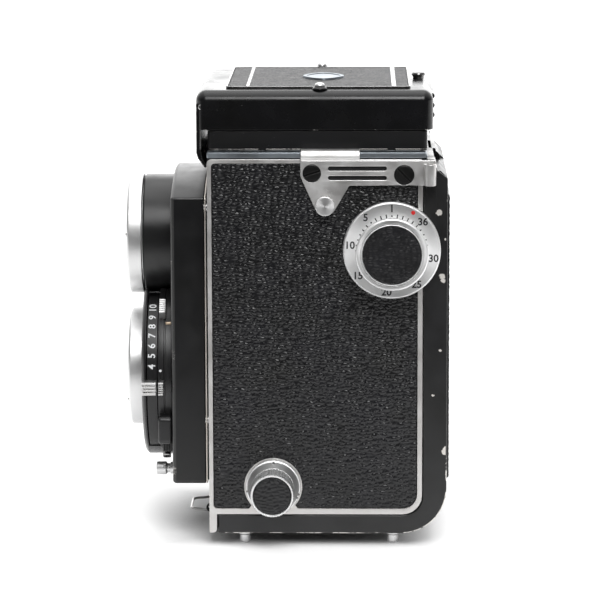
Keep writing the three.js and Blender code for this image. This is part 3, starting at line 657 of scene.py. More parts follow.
# The deck is a plate whose rear end is chamfered.
deck_hole = rectangle(-28.5, 28.5, 3, 60, 1)
deck = prism("z", [rectangle(DECK.x0, DECK.x1, DECK.u0, DECK.u1, 0.6), deck_hole], (DECK.z0, DECK.z1), 0.22)
deck = moved(deck, lambda x, u, z: (x, u - (0.9 * abs(z - DECK.z0 - 0.6) if u > DECK.u1 - 1.5 else 0), z))
piece("deck_plate", "body", deck, DECK_SILVER, ["top_deck"])

# The base of the hood has a flange at its foot with two notches on each side.
base_hole = rectangle(-30, 30, 4, 62, 2)
base_wall = prism("z", [rectangle(BASE.x0, BASE.x1, BASE.u0, BASE.u1, 2), base_hole], (BASE.z0, BASE.z1), 0.3)
piece("hood_wall", "body", base_wall, [CRINKLE, EDGE_LID], ["hood_base"])
half_line = [(BASE.x1 + 0.5, BASE.u0 + 0.3, 2), (BASE.x1 + 0.5, 15.6), (BASE.x1, 15.8), (BASE.x1, 17.6),
             (BASE.x1 + 0.5, 17.8), (BASE.x1 + 0.5, 54.4), (BASE.x1, 54.6), (BASE.x1, 56.6),
             (BASE.x1 + 0.5, 56.8), (BASE.x1 + 0.5, BASE.u1, 2)]
flange_line = rounded(half_line + [(-x, *rest) for x, *rest in half_line[::-1]])
flange = prism("z", [flange_line, rectangle(-29.9, 29.9, 4.1, 61.9, 2)], (BASE.z0 - 0.1, BASE.z0 + 0.62), 0.2,
               mark=1)
worn_line = worn_edge("rubbed flange edge", 0.03, 0.35, 0.8, metal_shade=0.3)
piece("hood_flange", "body", flange, [CRINKLE, worn_line])

# The front shield of the hood is a bent plate with a bright core at its edge.
hinge = (-1.8, 134.9)
shield_line = [(-1.9, 135.6), (-2.1, 136.0), (-3.1, 136.0), (-3.3, 135.6), (-3.3, 121.0), (-2.9, 119.4),
               (-0.75, 116.4), (-0.3, 116.6), (-0.3, 117.3), (-1.5, 119.3), (-1.9, 121.5)]
shield = prism("x", [shield_line], (-35, 35), 0.3, mark=1)
knuckle = rod("x", hinge, 1.6, (-26, 26), 0.3)
piece("hood_shield", "body", merged(shield, knuckle), [GLOSS, EDGE_LID],
      ["hood_front_shield"])
liner = prism("x", [[(-2.25, 134.0), (-2.25, 122.0), (-1.85, 122.0), (-1.85, 134.0)]], (-35.25, 35.25), 0.1)
piece("hood_shield_liner", "body", liner, CHROME)
pin = merged(*[rod("x", hinge, 0.8, span, 0.25, 24) for span in ((-35.6, -25.9), (25.9, 35.6))])
piece("hood_pin", "body", pin, CHROME)

# Hinge of the back: its pin shows between the cover's knuckles.
door_pin = Span("door_hinge_pin")
piece("back_hinge_pin", "body", rod("x", (door_pin.u, door_pin.z), 0.8, (door_pin.x0, door_pin.x1)),
      STEEL, ["door_hinge_pin"])
cover_line = rounded([(66.2, 118.7), (68.6, 118.7), (68.6, 119.4, 0.3), (66.2, 119.4)])
bridge_line = rounded([(67.4, 118.0), (69.6, 118.0, 0.3), (69.6, 119.4, 0.6), (67.4, 119.4)])
hinge_cover = merged(
    prism("x", [cover_line], (-38.6, 38.6), 0.1), prism("x", [bridge_line], (-10, 10), 0.2),
    ring("x", (door_pin.u, door_pin.z), 1.1, 2.3, (-10, 10), 0.2))
piece("back_hinge_cover", "body", hinge_cover, GLOSS, ["door_hinge_cover"])

# ---- Strap plates ----

PLATE_IN = SIDE_OUT + 0.3
PLATE_OUT = PLATE_IN + 1.0
STRAP_SCREWS = {"front": ((31.65, 115.4), 2.6, 0.3), "rear": ((59.4, 114.9), 2.9, 2.35)}
plate_line = rounded([
    (28.2, 119.3, 0.4), (28.2, 114.5, 1.2), (33.4, 102.85, 3), (37.8, 102.85, 3), (42.9, 111.7, 0.8),
    (69.0, 111.7, 1.0), (69.0, 119.3, 0.8),
])
slots = [rectangle(36.5, 54.2, z - 0.65, z + 0.65, 0.62) for z in (116.85, 114.0)]
holes = [circle(*centre, r + 0.15, 32) for centre, r, _ in STRAP_SCREWS.values()]

for side, end in ((1, "left"), (-1, "right")):
    flat = prism("x", [plate_line, *slots, *holes], (PLATE_IN, PLATE_OUT), 0.16)
    # The tab folds outwards over the ledge and lies on the deck.
    fold_line = rounded([
        (118.9, PLATE_IN + 0.1), (118.9, PLATE_OUT - 0.15), (119.5, PLATE_OUT + 0.1, 0.4),
        (120.3, PLATE_OUT + 0.75, 0.7), (122.35, PLATE_OUT + 0.35, 1.7), (122.4, 36.2, 0.2),
        (121.8, 36.2, 0.1), (121.7, PLATE_IN + 0.1, 0.9),
    ], steps=8)
    fold = prism("y", [fold_line], (28.3, 46.1), 0.2, 3)
    piece(f"strap_fitting_{end}", "body", mirrored(merged(flat, fold), side), PLATE_SILVER,
          [f"strap_plate_{end}"])
    backing_line = rounded([(29.5, 118.9), (29.5, 113.0), (42.5, 112.3), (67.5, 112.3), (67.5, 118.9)])
    backing = prism("x", [backing_line], (PLATE_IN - 0.25, PLATE_IN + 0.12), 0)
    piece(f"strap_backing_{end}", "body", mirrored(backing, side), INSIDE)
    for name, (centre, r, angle) in STRAP_SCREWS.items():
        # Two half heads leave the slot between them.
        halves = []
        for turn in (0, pi):
            start = angle + turn + 0.11
            line = circle(*centre, r, 28, start, start + pi - 0.22)
            halves.append(prism("x", [line], (PLATE_IN + 0.3, PLATE_OUT + 0.1), 0.22, steps=3))
        halves.append(rod("x", centre, r - 0.05, (PLATE_IN + 0.02, PLATE_OUT - 0.45), 0.05, 40))
        piece(f"strap_screw_{name}_{end}", "body", mirrored(merged(*halves), side), BLACK_SCREW)
    stud = turned("x", (35.6, 105.8), [
        (0, PLATE_OUT - 0.1), (1.9, PLATE_OUT - 0.1), (1.9, PLATE_OUT + 1.8, 0.3),
        (2.9, PLATE_OUT + 1.9, 0.2), (2.9, PLATE_OUT + 3.4, 0.2), (0, PLATE_OUT + 3.4),
    ], 64)
    piece(f"strap_stud_{end}", "body", mirrored(stud, side), KNOB_SILVER)
    # The plate's rear end is rolled outwards into an eye.
    eye = (PLATE_OUT + 0.75, 67.2)
    roll = circle(*eye, 1.8, 30, radians(-155), radians(150))
    roll += circle(*eye, 1.05, 30, radians(150), radians(-155))
    hook = prism("z", [roll], (111.75, 118.2), 0.2)
    piece(f"strap_hook_{end}", "body", mirrored(hook, side), PLATE_SILVER)

# ---- Side knobs ----


def knurl(teeth, depth, low, high):
    """Relief for the grip of a knob between two distances along its axis."""
    return lambda angle, r, t: -depth * (0.5 + 0.5 * cos(teeth * angle)) if low < t < high else 0


def on_circle(centre, radius, angle):
    """A point on a circle. The angle runs clockwise from the top as seen from the user's left."""
    return centre[0] + radius * sin(angle), centre[1] + radius * cos(angle)


def on_dial(shape, centre, radius, angle, face):
    """Lays lettering on a dial that faces +x. The angle runs clockwise from the top as seen from outside."""
    # Seen from +x, u runs to the right and z up.
    out = np.array((sin(angle), cos(angle)))
    along = np.array((cos(angle), -sin(angle)))

    def change(s, t, h):
        p = np.array(centre) + out * (radius + t) + along * s
        return (face + h, p[0], p[1])

    return moved(shape, change)


dial_body = turned("x", TAKEUP, [
    (3.3, DIAL.x0), (14.3, DIAL.x0, 0.4), (14.75, DIAL.x0 + 0.8), (14.75, DIAL.x1 - 0.5, 0.4),
    (14.3, DIAL.x1, 0.25), (11.3, DIAL.x1), (3.3, DIAL.x1), (3.3, DIAL.x0),
], 160)
piece("film_counter_dial", "counter_knob", dial_body, KNOB_SILVER, ["counter_dial"])


def upright(shape, centre, radius, angle, face):
    """Like on_dial, but the figures stand upright."""
    u, z = on_circle(centre, radius, angle)
    return moved(shape, lambda s, t, h: (face + h, u + s, z + t))


FRAME_STEP = radians(9)
FIGURE_CIRCLE, TICK_CIRCLE, DOT_CIRCLE = 12.75, 10.55, 13.2
FIGURES = ((1, 0), (5, -4.25), (10, -9.2), (15, -14.1), (20, -19.2), (25, -24), (30, -28.8), (36, -34.8))
figures = [upright(lettering(str(count), 3.1, bold=0.07), TAKEUP, FIGURE_CIRCLE, step * FRAME_STEP,
                   DIAL.x1 - 0.01) for count, step in FIGURES]
ticks = []
for k in range(40):
    angle = -k * FRAME_STEP
    if k in (0, 4):
        at = on_circle(TAKEUP, TICK_CIRCLE, angle)
        ticks.append(rod("x", at, 0.27, (DIAL.x1 - 0.1, DIAL.x1 + 0.03), 0, 12))
        continue
    length = 1.15 if k in (36, 37, 38, 39, 1, 2, 3) else 0.85
    mark = prism("z", [rectangle(-0.17, 0.17, -length / 2, length / 2)], (0, 0.03), 0)
    ticks.append(on_dial(mark, TAKEUP, TICK_CIRCLE, angle, DIAL.x1))
markings("counter_figures", "counter_knob", figures + ticks, BLACK_INK)
dot = rod("x", on_circle(TAKEUP, DOT_CIRCLE, radians(29)), 0.62, (DIAL.x1 - 0.1, DIAL.x1 + 0.05), 0.04, 24)
piece("counter_red_dot", "counter_knob", dot, RED_INK)
FACE = KNOB.x1
knob_body = turned("x", TAKEUP, [
    (0, KNOB.x0), (2.8, KNOB.x0), (2.8, DIAL.x1 + 0.3), (9.4, DIAL.x1 + 0.3, 0.3), (9.7, FACE - 3.4, 0.4),
    (10.9, FACE - 2.6, 0.3), (10.9, FACE - 0.9, 0.35), (10.5, FACE - 0.5, 0.2), (9.5, FACE - 0.4, 0.1),
    (9.45, FACE - 1.0), (9.25, FACE - 1.0), (9.2, FACE - 0.1, 0.08), (8.95, FACE, 0.08), (8.9, FACE - 0.9),
    (0, FACE - 0.9),
], 128)
piece("counter_grip", "counter_knob", knob_body, KNOB_SILVER, ["counter_knob"])
inlay("counter_inlay", "counter_knob", TAKEUP, 8.85, FACE - 1.0, FACE - 0.3, 31)

bezel = turned("x", SUPPLY, [
    (3.4, BEZEL.x0), (8.4, BEZEL.x0, 0.2), (8.35, BEZEL.x0 + 0.9, 0.2), (7.95, BEZEL.x0 + 1.05, 0.1),
    (6.6, BEZEL.x1, 0.1), (3.4, BEZEL.x1), (3.4, BEZEL.x0),
], 120, knurl(60, 0.12, BEZEL.x1 - 0.9, BEZEL.x1 + 0.1))
piece("supply_seat", "body", bezel, KNOB_SILVER, ["supply_bezel"])


def cone_mark(angle, r, size):
    """A small filled pit on the bezel's cone."""
    x = BEZEL.x0 + 0.8 + (8.5 - r) / 1.9 * (BEZEL.x1 - BEZEL.x0 - 0.8)
    return rod("x", on_circle(SUPPLY, r, angle), size, (x - 0.3, x + 0.1), 0.05, 16)


marks_at = ((0.02, 7.85, 0.42), (radians(105), 8.0, 0.4), (radians(113), 8.0, 0.3), (-radians(98), 8.0, 0.3))
piece("supply_seat_marks", "body", merged(*[cone_mark(*m) for m in marks_at]), DARK_STEEL)
cap = turned("x", SUPPLY, [
    (0, CAP.x0), (2.8, CAP.x0), (2.8, BEZEL.x1 + 0.3), (6.1, BEZEL.x1 + 0.3, 0.2), (6.7, 44.0, 0.3),
    (6.7, CAP.x1 - 0.6, 0.12), (6.35, CAP.x1, 0.15), (5.9, CAP.x1, 0.15), (5.8, CAP.x1 - 0.9),
    (0, CAP.x1 - 0.9),
], 192, knurl(48, 0.26, 43.9, CAP.x1 - 0.4))
piece("supply_cap", "supply_knob", cap, KNOB_SILVER, ["supply_knob"])
inlay("supply_inlay", "supply_knob", SUPPLY, 5.75, CAP.x1 - 1.0, CAP.x1 - 0.3, 37)

out = PIVOT.x0
pivot = turned("x", SUPPLY, [
    (0, out + 0.5), (1.2, out + 0.5), (1.5, out), (5.3, out, 0.3), (6.2, out + 0.7, 0.2),
    (6.2, -SIDE_OUT - 0.3, 0.1), (3, -SIDE_OUT - 0.3), (3, -35), (2.8, PIVOT.x1), (0, PIVOT.x1),
])
piece("supply_pivot_cap", "body", pivot, KNOB_SILVER, ["supply_pivot"])

far = WINDER.x0
winder = turned("x", TAKEUP, [
    (0, far + 0.9), (9.2, far + 0.9), (9.4, far, 0.2), (11.7, far, 0.3), (12.5, far + 0.8, 0.3),
    (12.5, far + 8.2, 0.4), (11.9, far + 8.7), (13.6, far + 9.4, 0.3), (13.6, far + 12.3, 0.3),
    (2.8, far + 12.3), (2.8, WINDER.x1), (0, WINDER.x1),
], 240, knurl(60, 0.35, far + 0.6, far + 8.4))
piece("winding_grip", "winding_knob", winder, KNOB_SILVER, ["winding_knob"])
inlay("winding_inlay", "winding_knob", TAKEUP, 9.1, far + 0.95, far + 0.35, 41)

near = FOCUS.x0
focus = turned("x", FOCUS_AXIS, [
    (0, near + 0.9), (10.1, near + 0.9), (10.3, near, 0.2), (12.8, near, 0.3), (13.7, near + 0.9, 0.3),
    (13.7, near + 6.2, 0.4), (13.0, near + 6.7), (15.4, near + 7.4, 0.4), (15.4, -SIDE_OUT - 0.7, 0.3),
    (1.9, -SIDE_OUT - 0.7), (1.9, FOCUS.x1), (0, FOCUS.x1),
], 256, knurl(64, 0.35, near + 0.7, near + 6.4))
piece("focusing_grip", "focus_knob", focus, KNOB_SILVER, ["focus_knob"])
inlay("focusing_inlay", "focus_knob", FOCUS_AXIS, 10.0, near + 0.95, near + 0.35, 43)
distance_figures = []
for k, text in enumerate(("1", "2", "3", "5", "10", "20")):
    angle = radians(-110 + 44 * k)
    flat = on_dial(lettering(text, 1.5), FOCUS_AXIS, 14.45, angle, 0)
    distance_figures.append(moved(flat, lambda x, u, z: (near + 7.39 - x, 2 * FOCUS_AXIS[0] - u, z)))
markings("focusing_figures", "focus_knob", distance_figures, BLACK_INK)

# ---- Lens standard ----

VIEW_AXIS = (VIEW.z, 0.0)
TAKE_AXIS = (TAKE.z, 0.0)
S_HALF, S_FRONT, S_BACK, S_LOW = STANDARD.x1, STANDARD.u0, -1.3, STANDARD.z0
MOUNT = -11.8           # rear faces of the shutter and the viewing lens, just before the standard's front
APEX, SHOULDER = STANDARD.z1, 107.0


def standard_face(inset):
    """The front standard's outline in (z, x): straight sides under an arch."""
    half, rise = S_HALF - inset, APEX - SHOULDER
    arch = (S_HALF ** 2 + rise ** 2) / (2 * rise)
    sweep = asin(half / (arch - inset))
    arc = circle(APEX - arch, 0, arch - inset, 28, -sweep, sweep)
    low = S_LOW + inset
    corners = [(low, -half, 1.2), (*arc[0], 1.0), *arc[1:-1], (*arc[-1], 1.0), (low, half, 1.2)]
    return rounded(corners, steps=4)


holes = [circle(*axis, 14.4, 96) for axis in (VIEW_AXIS, TAKE_AXIS)]
front = prism("y", [standard_face(0), *holes], (S_FRONT, S_FRONT + 2.2), 1.7, 6, mark=1, far_edge=0)
walls = prism("y", [standard_face(0), standard_face(1.5)], (S_FRONT + 2.19, S_BACK), 0.01, 1, far_edge=0.18)
rods = [rod("y", (z, x), 1.4, (S_FRONT + 2, 14), 0.2, 24) for x in (-31.5, 31.5) for z in (104, 38)]
piece("lens_board", "lens_standard", merged(front, walls), [SATIN, EDGE_STANDARD],
      ["front_standard"])
piece("lens_board_guides", "lens_standard", merged(*rods), STEEL)
seat_plate = prism("y", [standard_face(0.1), standard_face(4)], (-1.15, -0.7), 0.08)
piece("standard_seat_plate", "body", seat_plate, BARE_PLATE)
seat_root = prism("y", [standard_face(0.9), standard_face(4)], (-0.72, 0.1), 0)
piece("standard_seat_root", "body", seat_root, INSIDE)
screw_line = [(0, S_FRONT - 0.3), (1.3, S_FRONT - 0.2, 0.2), (1.5, S_FRONT + 0.2), (0, S_FRONT + 0.2)]
corner_screws = [turned("y", (z, x), screw_line, 32) for x in (-28, 28) for z in (24, 101)]
piece("lens_board_screws", "lens_standard", merged(*corner_screws), BLACK_SCREW)

barrel = turned("y", VIEW_AXIS, [
    (13.4, BARREL.u0, 0.1), (18.2, BARREL.u0, 0.2), (18.55, BARREL.u0 + 0.5, 0.2), (18.6, MOUNT), (14, MOUNT),
    (14, -5), (12.4, -5), (12.4, -13), (13.4, -13.4), (13.4, BARREL.u0, 0.1),
], 160)
piece("viewing_mount", "lens_standard", barrel, BARREL_BLACK, ["viewing_barrel"])


def dome(radius, front_u, rim_u):
    """The front of a lens: a shallow arc from the axis to its rim."""
    return [(radius * k / 10, front_u + (rim_u - front_u) * (k / 10) ** 2) for k in range(11)]


for name, axis, r, tip, rim, back in (("viewing", VIEW_AXIS, 13.1, -20.4, -17.6, -16.8),
                                      ("taking", TAKE_AXIS, 10.6, -20.6, -18.6, -17.8)):
    piece(f"{name}_front_glass", "lens_standard",
          lathe("y", axis, dome(r, tip, rim) + [(r, back), (0, back)]), COATED, [f"{name}_lens"])
depth_line = [(0, -14.2), (12.9, -14.2), (13.1, -16.2), (12.4, -16.2), (11, -14.6), (0, -14.5)]
piece("viewing_depth", "lens_standard", lathe("y", VIEW_AXIS, depth_line), INSIDE)
iris = ring("y", TAKE_AXIS, 5.5, 10.5, (-16.0, -15.7), 0.05)
blades = [prism("y", [[(TAKE.z + 5.4 * cos(a), 5.4 * sin(a)),
                       (TAKE.z + 10.4 * cos(a + 0.1), 10.4 * sin(a + 0.1)),
                       (TAKE.z + 10.4 * cos(a + 1.1), 10.4 * sin(a + 1.1))]],
                (-16.2 - 0.02 * k, -16.05 - 0.02 * k), 0.0)
          for k, a in enumerate(np.arange(5) * TAU / 5)]
piece("taking_iris", "lens_standard", merged(iris, *blades), INSIDE)


def bayonet(axis, body_front):
    """A filter ring: three lugs inside, and gaps between them that step the rim."""
    inner, outer, back = 15.6, 18.8, -21.5

    def relief(angle, r, t):
        between = (angle * 3 / TAU + 0.1) % 1.0 < 0.42
        return 0.8 if between and r < 16.4 and t < -22 else 0.0

    return turned("y", axis, [
        (inner, back), (inner, body_front + 0.9, 0.15), (16.2, body_front, 0.2), (18.1, body_front, 0.5),
        (outer, body_front + 0.6, 0.3), (outer, back, 0.15), (inner, back),
    ], 240, relief)


nubs = []
for name, axis, lens, angle in (("viewing", VIEW_AXIS, VIEW, 0.12), ("taking", TAKE_AXIS, TAKE, -0.5)):
    piece(f"{name}_filter_ring", "lens_standard", bayonet(axis, lens.u0), BAYONET,
          [f"{name}_bayonet"])
    at = (lens.z + 17.2 * sin(angle), 17.2 * cos(angle))
    nubs.append(rod("y", at, 0.7, (lens.u0 - 0.35, lens.u0 + 0.5), 0.2, 24))
piece("filter_ring_stops", "lens_standard", merged(*nubs), CHROME)

# ---- Shutter ----

RIM = 28.3
GROOVE = (-19.8, -16.1)
LENS_GAP = VIEW.z - TAKE.z
VIEW_ROOM = 19.1        # radius that the shutter leaves free about the viewing lens


def case_relief(angle, r, t):
    """Keeps the rim away from the viewing lens."""
    far_side = VIEW_ROOM ** 2 - (LENS_GAP * sin(angle)) ** 2
    if far_side <= 0 or cos(angle) < 0:
        return 0
    return min(r, max(11.0, LENS_GAP * cos(angle) - sqrt(far_side))) - r


def rim_arc(radius, start, end, count):
    """Points round the taking lens. The angle runs from the user's left over the top."""
    return [(TAKE.z + radius * sin(a), radius * cos(a)) for a in np.linspace(start, end, count)]


def rim_cover():
    """A thin wall over the ring's groove, open on the left, where the scale shows and its tab moves."""
    start, end = radians(114), radians(305)
    line = rim_arc(28.12, start, end, 100) + rim_arc(27.87, end, start, 100)
    return prism("y", [line], (GROOVE[0] - 0.05, GROOVE[1] + 0.05), 0)


case = lathe("y", TAKE_AXIS, [
    (11, -21.2), (12.2, -21.2), (12.4, -21.0), (24.9, -21.0), (25.1, -21.25), (26.5, -21.25), (27.1, -21.1),
    (27.9, -20.5), (28.1, -20.2), (28.1, -19.9), (28.0, GROOVE[0]), (24.6, GROOVE[0] + 0.02),
    (24.6, GROOVE[1] - 0.02), (RIM - 0.1, GROOVE[1]), (RIM, GROOVE[1] + 0.12), (RIM, -14.4),
    (RIM - 0.3, -14.25), (RIM - 0.3, -13.95), (RIM, -13.8), (RIM, MOUNT - 0.2), (RIM - 0.15, MOUNT),
    (14, MOUNT), (14, -9.4), (11, -9.4), (11, -21.2),
], 288, case_relief)
side_box = prism("y", [rectangle(29.8, 38.6, 20.5, 30.4, 1.6)], (-16.0, MOUNT), 0.7, 4)
ribs = [prism("y", [rectangle(26.1, 30.2, 19.2, 23.6, 0.5, 3)], (-15 + 0.8 * k, -14.5 + 0.8 * k), 0.15)
        for k in range(4)]
post = prism("y", [rectangle(26.3, 30, 19.4, 23.2, 0.5, 3)], (-14.9, MOUNT), 0.1)
piece("shutter_housing", "lens_standard", merged(case, rim_cover(), side_box, post, *ribs),
      SHUTTER_BLACK, ["shutter_case"])

scale_line = []
for reach, start, end in ((27.82, -63, -6.5), (27.65, -6.3, 60), (25.0, 60, -63)):
    scale_line += rim_arc(reach, radians(start), radians(end), 48)
piece("exposure_ring", "ev_ring", prism("y", [scale_line], (SCALE.u0, SCALE.u1), 0.12),
      BARREL_BLACK, ["ev_scale"])


def on_rim(shape, radius, angle, depth):
    """Bends lettering round the rim, reading upwards along it."""

    def change(s, t, h):
        a = angle + s / radius
        return ((radius + h) * cos(a), depth - t, TAKE.z + (radius + h) * sin(a))

    return moved(shape, change)


values = ((8.0, "4"), (15.0, "5"), (21.4, "6"), (28.2, "7"), (34.6, "8"), (41.2, "9"), (48.6, "10"))
figures = [on_rim(lettering(text, 3.1, bold=0.06), 27.64, radians(angle + 1.0), SCALE.u)
           for angle, text in values]
markings("exposure_figures", "ev_ring", figures, WHITE_INK)
INDEX = (RIM * cos(0.115) - 0.03, -15.3, TAKE.z + RIM * sin(0.115))
index = moved(rod("y", (0, 0), 0.42, (0, 0.1), 0.03, 20),
              lambda x, t, z: (INDEX[0] + t, INDEX[1] + x, INDEX[2] + z))
piece("exposure_index", "lens_standard", index, WHITE_INK)
pin_angle = radians(37)
pin_at = (TAKE.z + 28.5 * sin(pin_angle), 28.5 * cos(pin_angle))
brass = metal("worn brass", 0.55, 0.3, warm=0.22)
piece("rim_pin", "lens_standard", rod("y", pin_at, 0.5, (-13.9, -12.0), 0.2, 24), brass)


def rim_tab(angle, reach, depth, width, teeth, edge=0.2):
    """A thumb tab on the rim at degrees above the user's left, with grooves across its end."""
    inner, outer = reach
    half, pitch = width / 2, width / (teeth + 1)
    line = [(-half, inner), (-half, outer - 0.1), (-half + 0.1, outer)]
    for k in range(teeth):
        z = -half + pitch * (k + 1)
        line += [(z - 0.22, outer), (z, outer - 0.55), (z + 0.22, outer)]
    line += [(half - 0.1, outer), (half, outer - 0.1), (half, inner)]
    a = radians(angle)
    turn = [(TAKE.z + r * sin(a) + z * cos(a), r * cos(a) - z * sin(a)) for z, r in line]
    return prism("y", [turn], depth, edge if teeth < 2 else 0.06)


REACH = (RIM - 0.1, 31.6)
tab_neck = rim_tab(-3.4, (27.3, 28.5), (-19.4, -16.5), 3.8, 0)
tab_head = rim_tab(-3.4, (28.18, REACH[1]), (-20.9, -16.6), 4, 3)
piece("exposure_tab", "ev_ring", merged(tab_neck, tab_head), TAB_SILVER, ["ev_lever"])
piece("speed_tab", "speed_lever", rim_tab(-3.4, REACH, (-15.8, -14.3), 4, 5), TAB_SILVER,
      ["speed_lever"])
piece("aperture_tab", "aperture_lever", rim_tab(45.6, REACH, (-15.8, -13.9), 5.2, 6),
      TAB_SILVER, ["aperture_lever"])
piece("cocking_tab", "cocking_lever",
      rim_tab(-57.5, (RIM - 0.1, 31.0), (-15.5, -13), 3, 0, 0.4), CHROME, ["cocking_lever"])

SOCKET = (18.9, 14.0)
socket = turned("y", SOCKET, [
    (0, -14.4), (1.25, -14.4), (1.25, -17.5, 0.1), (1.45, -17.7, 0.1), (2.0, -17.5, 0.15),
    (2.05, -14.7, 0.15), (1.45, -14.2), (1.45, -13.5), (1.85, -13.1, 0.1), (1.85, MOUNT), (0, MOUNT),
], 96, knurl(16, 0.16, -17.3, -14.8))
contact = rod("y", SOCKET, 0.4, (-16.6, -14.2), 0.15, 20)
piece("flash_terminal", "lens_standard", merged(socket, contact), BAYONET, ["flash_socket"])

# ---- Back door ----

HALF, SKIN = DOOR.x1, 1.3
LOW, FAR, TOP = DOOR.z0, DOOR.u1, 116.1
REAR_TOP, LINING_TOP = 113.6, 111.5
SEAM = (65.4, 9.7)
CORNER = 14             # radius of the lower rear corner
CHIPS = ((70.0, 103.4, 0.9), (71.0, 84.0, 0.8), (71.2, 82.6, 0.6), (72.6, 30.0, 1.3), (70.4, 61.0, 0.35),
         (68.3, 47.2, 0.3), (71.9, 95.0, 0.3))      # (u, z, size)


def door_paint():
    """Enamel with chips down to the metal on the near side."""
    s = Shader("chipped back enamel", IOR=1.5)
    s.link(s.ramp(s.noise(9, 4, rough=0.6), 0.35, 0.7, 0.28, 0.44), "Roughness")
    warp = s.node("TexNoise", {"Vector": s.place, "Scale": 900, "Detail": 3}, 1)
    at = s.node("VectorMath", {0: warp, 1: (0.0012, 0.0012, 0.0012), 2: s.place}, operation="MULTIPLY_ADD")
    nearest = None
    for u, z, r in CHIPS:
        spot = (HALF * MM + 0.0006, (u + FRONT + 0.6) * MM, (z + 0.6) * MM)
        far = s.node("VectorMath", {0: at, 1: spot}, 1, operation="DISTANCE")
        short = s.math("SUBTRACT", far, r * MM)
        nearest = short if nearest is None else s.math("MINIMUM", nearest, short)
    chip = s.ramp(nearest, 0.00015, 0.0)
    tone = s.mix(s.ramp(s.noise(14, 2), 0.3, 0.7), grey(0.008), grey(0.012, 0.001))
    s.link(s.mix(chip, tone, (0.72, 0.69, 0.65, 1)), "Base Color")
    s.link(s.math("MULTIPLY", chip, 0.3), "Metallic")
    s.link(s.bump(chip, -0.02, after=s.bump(s.noise(0.8, 2), 0.004)), "Normal")
    return s.material


def door_edge():
    """The door's rims, rubbed bright along the bottom and round the lower rear corner."""
    s = Shader("rubbed back rim")
    depth, height = (s.node("SeparateXYZ", {"Vector": s.place}, axis) for axis in (1, 2))
    # How far a point lies out from the middle of the corner's arc, counted along the bottom and the back too.
    behind = s.math("MAXIMUM", s.math("SUBTRACT", depth, (FAR + FRONT - CORNER) * MM), 0.0)
    below = s.math("MAXIMUM", s.math("SUBTRACT", (LOW + CORNER) * MM, height), 0.0)
    squares = s.math("ADD", s.math("MULTIPLY", behind, behind), s.math("MULTIPLY", below, below))
    edge = s.ramp(s.math("SQRT", squares), (CORNER - 0.9) * MM, (CORNER - 0.4) * MM)
    low = s.math("MULTIPLY", edge, s.ramp(height, 0.034, 0.022, 0.06, 0.2))
    limit = s.math("SUBTRACT", 0.69, low)
    through = s.ramp(s.math("SUBTRACT", s.patches(5, 0.8), limit), 0.0, 0.03)
    return s.rub_through(through, 0.012, (0.72, 0.70, 0.67, 1), 0.3, 0.36)


side_line = rounded([
    (2.7, LOW, 0.5), (FAR, LOW, CORNER), (FAR, REAR_TOP, 0.6), (69.6, TOP, 0.6), (SEAM[0], TOP),
    (SEAM[0], SEAM[1], 6.3), (2.7, SEAM[1]),
], steps=20)
plates = [prism("x", [side_line], span, 0.35, 3, mark=1)
          for span in ((HALF - SKIN, HALF), (-HALF, SKIN - HALF))]


def skin_line(cap):
    """The section of the door's wall, up to a height."""
    return rounded([
        (2.8, LOW), (FAR, LOW, CORNER), (FAR, REAR_TOP, 0.6), (70.4, cap, 0.4), (SEAM[0], cap),
        (SEAM[0], LINING_TOP), (FAR - SKIN, LINING_TOP), (FAR - SKIN, LOW + SKIN, CORNER - SKIN),
        (4.0, LOW + SKIN), (4.0, SEAM[1]), (2.8, SEAM[1]),
    ], steps=20)


spans = ((SKIN - HALF, -10.4, 115.9), (-10.4, 10.4, 113.9), (10.4, HALF - SKIN, 115.9))
skins = [prism("x", [skin_line(cap)], (x0, x1), 0) for x0, x1, cap in spans]
piece("back_shell", "back_door", merged(*plates, *skins), [door_paint(), door_edge()],
      ["back_door"])
sheet = leather_panel("y", rectangle(20, 108, -34, 34, 2), FAR + 0.1, BACK.u1 - 0.02, 51, 0.36, 0.2)
cover("back_cover", "back_door", sheet, SIDE_LEATHER, ["back_leather"])

BUSH = 2.4              # height of the tripod bush's lower face
thread = [(3.2 if k % 2 else 2.85, BUSH + 0.35 * (k + 0.5)) for k in range(16)]
tripod = lathe("z", (0, 38), [
    (3.5, BUSH), (8.3, BUSH), (8.5, BUSH + 0.2), (8.5, LOW - 0.3), (5, LOW - 0.3), (5, 9), (0, 9), (0, 8.2),
    (3.1, 8.2), *thread[::-1], (3.5, BUSH),
])
piece("tripod_bush", "back_door", tripod, PIN_SILVER, ["tripod_socket"])
for row in ("front", "rear"):
    for end in ("left", "right"):
        node = Span(f"foot_{row}_{end}")
        foot = turned("z", (node.x, node.u), [
            (0, 0), (1.15, 0.05, 0.6), (1.72, 0.7, 0.4), (1.72, 2.5, 0.2), (2.3, 3.0, 0.2), (2.3, LOW + 0.1),
            (0, LOW + 0.1)], 48)
        piece(f"stud_foot_{row}_{end}", "back_door", foot, PIN_SILVER, [f"foot_{row}_{end}"])

BAIL_Z, DROOP = 5.6, 4.2        # heights of the pivots and of the loop
half_bend = [(-9.5, -1.6), (-8.2, -3.6, 1), (-6.9, -7.3, 2.4)]
bend = half_bend + [(-x, *rest) for x, *rest in half_bend[::-1]]
bail = wire([(-11.4, -1, BAIL_Z), (-9.8, -1, BAIL_Z), *[(x, u, DROOP) for x, u in rounded(bend)],
             (9.8, -1, BAIL_Z), (11.4, -1, BAIL_Z)], 0.42, 12)
piece("latch_wire", "latch_bail", bail, STEEL, ["latch_bail"])

# ---- Hood ----

L0, L1, L_HALF, L_TOP = LID.u0, LID.u1, LID.x1, 139.9
ROUND_X, ROUND_U, ROUND_Z = 4.4, 3.2, 3.2


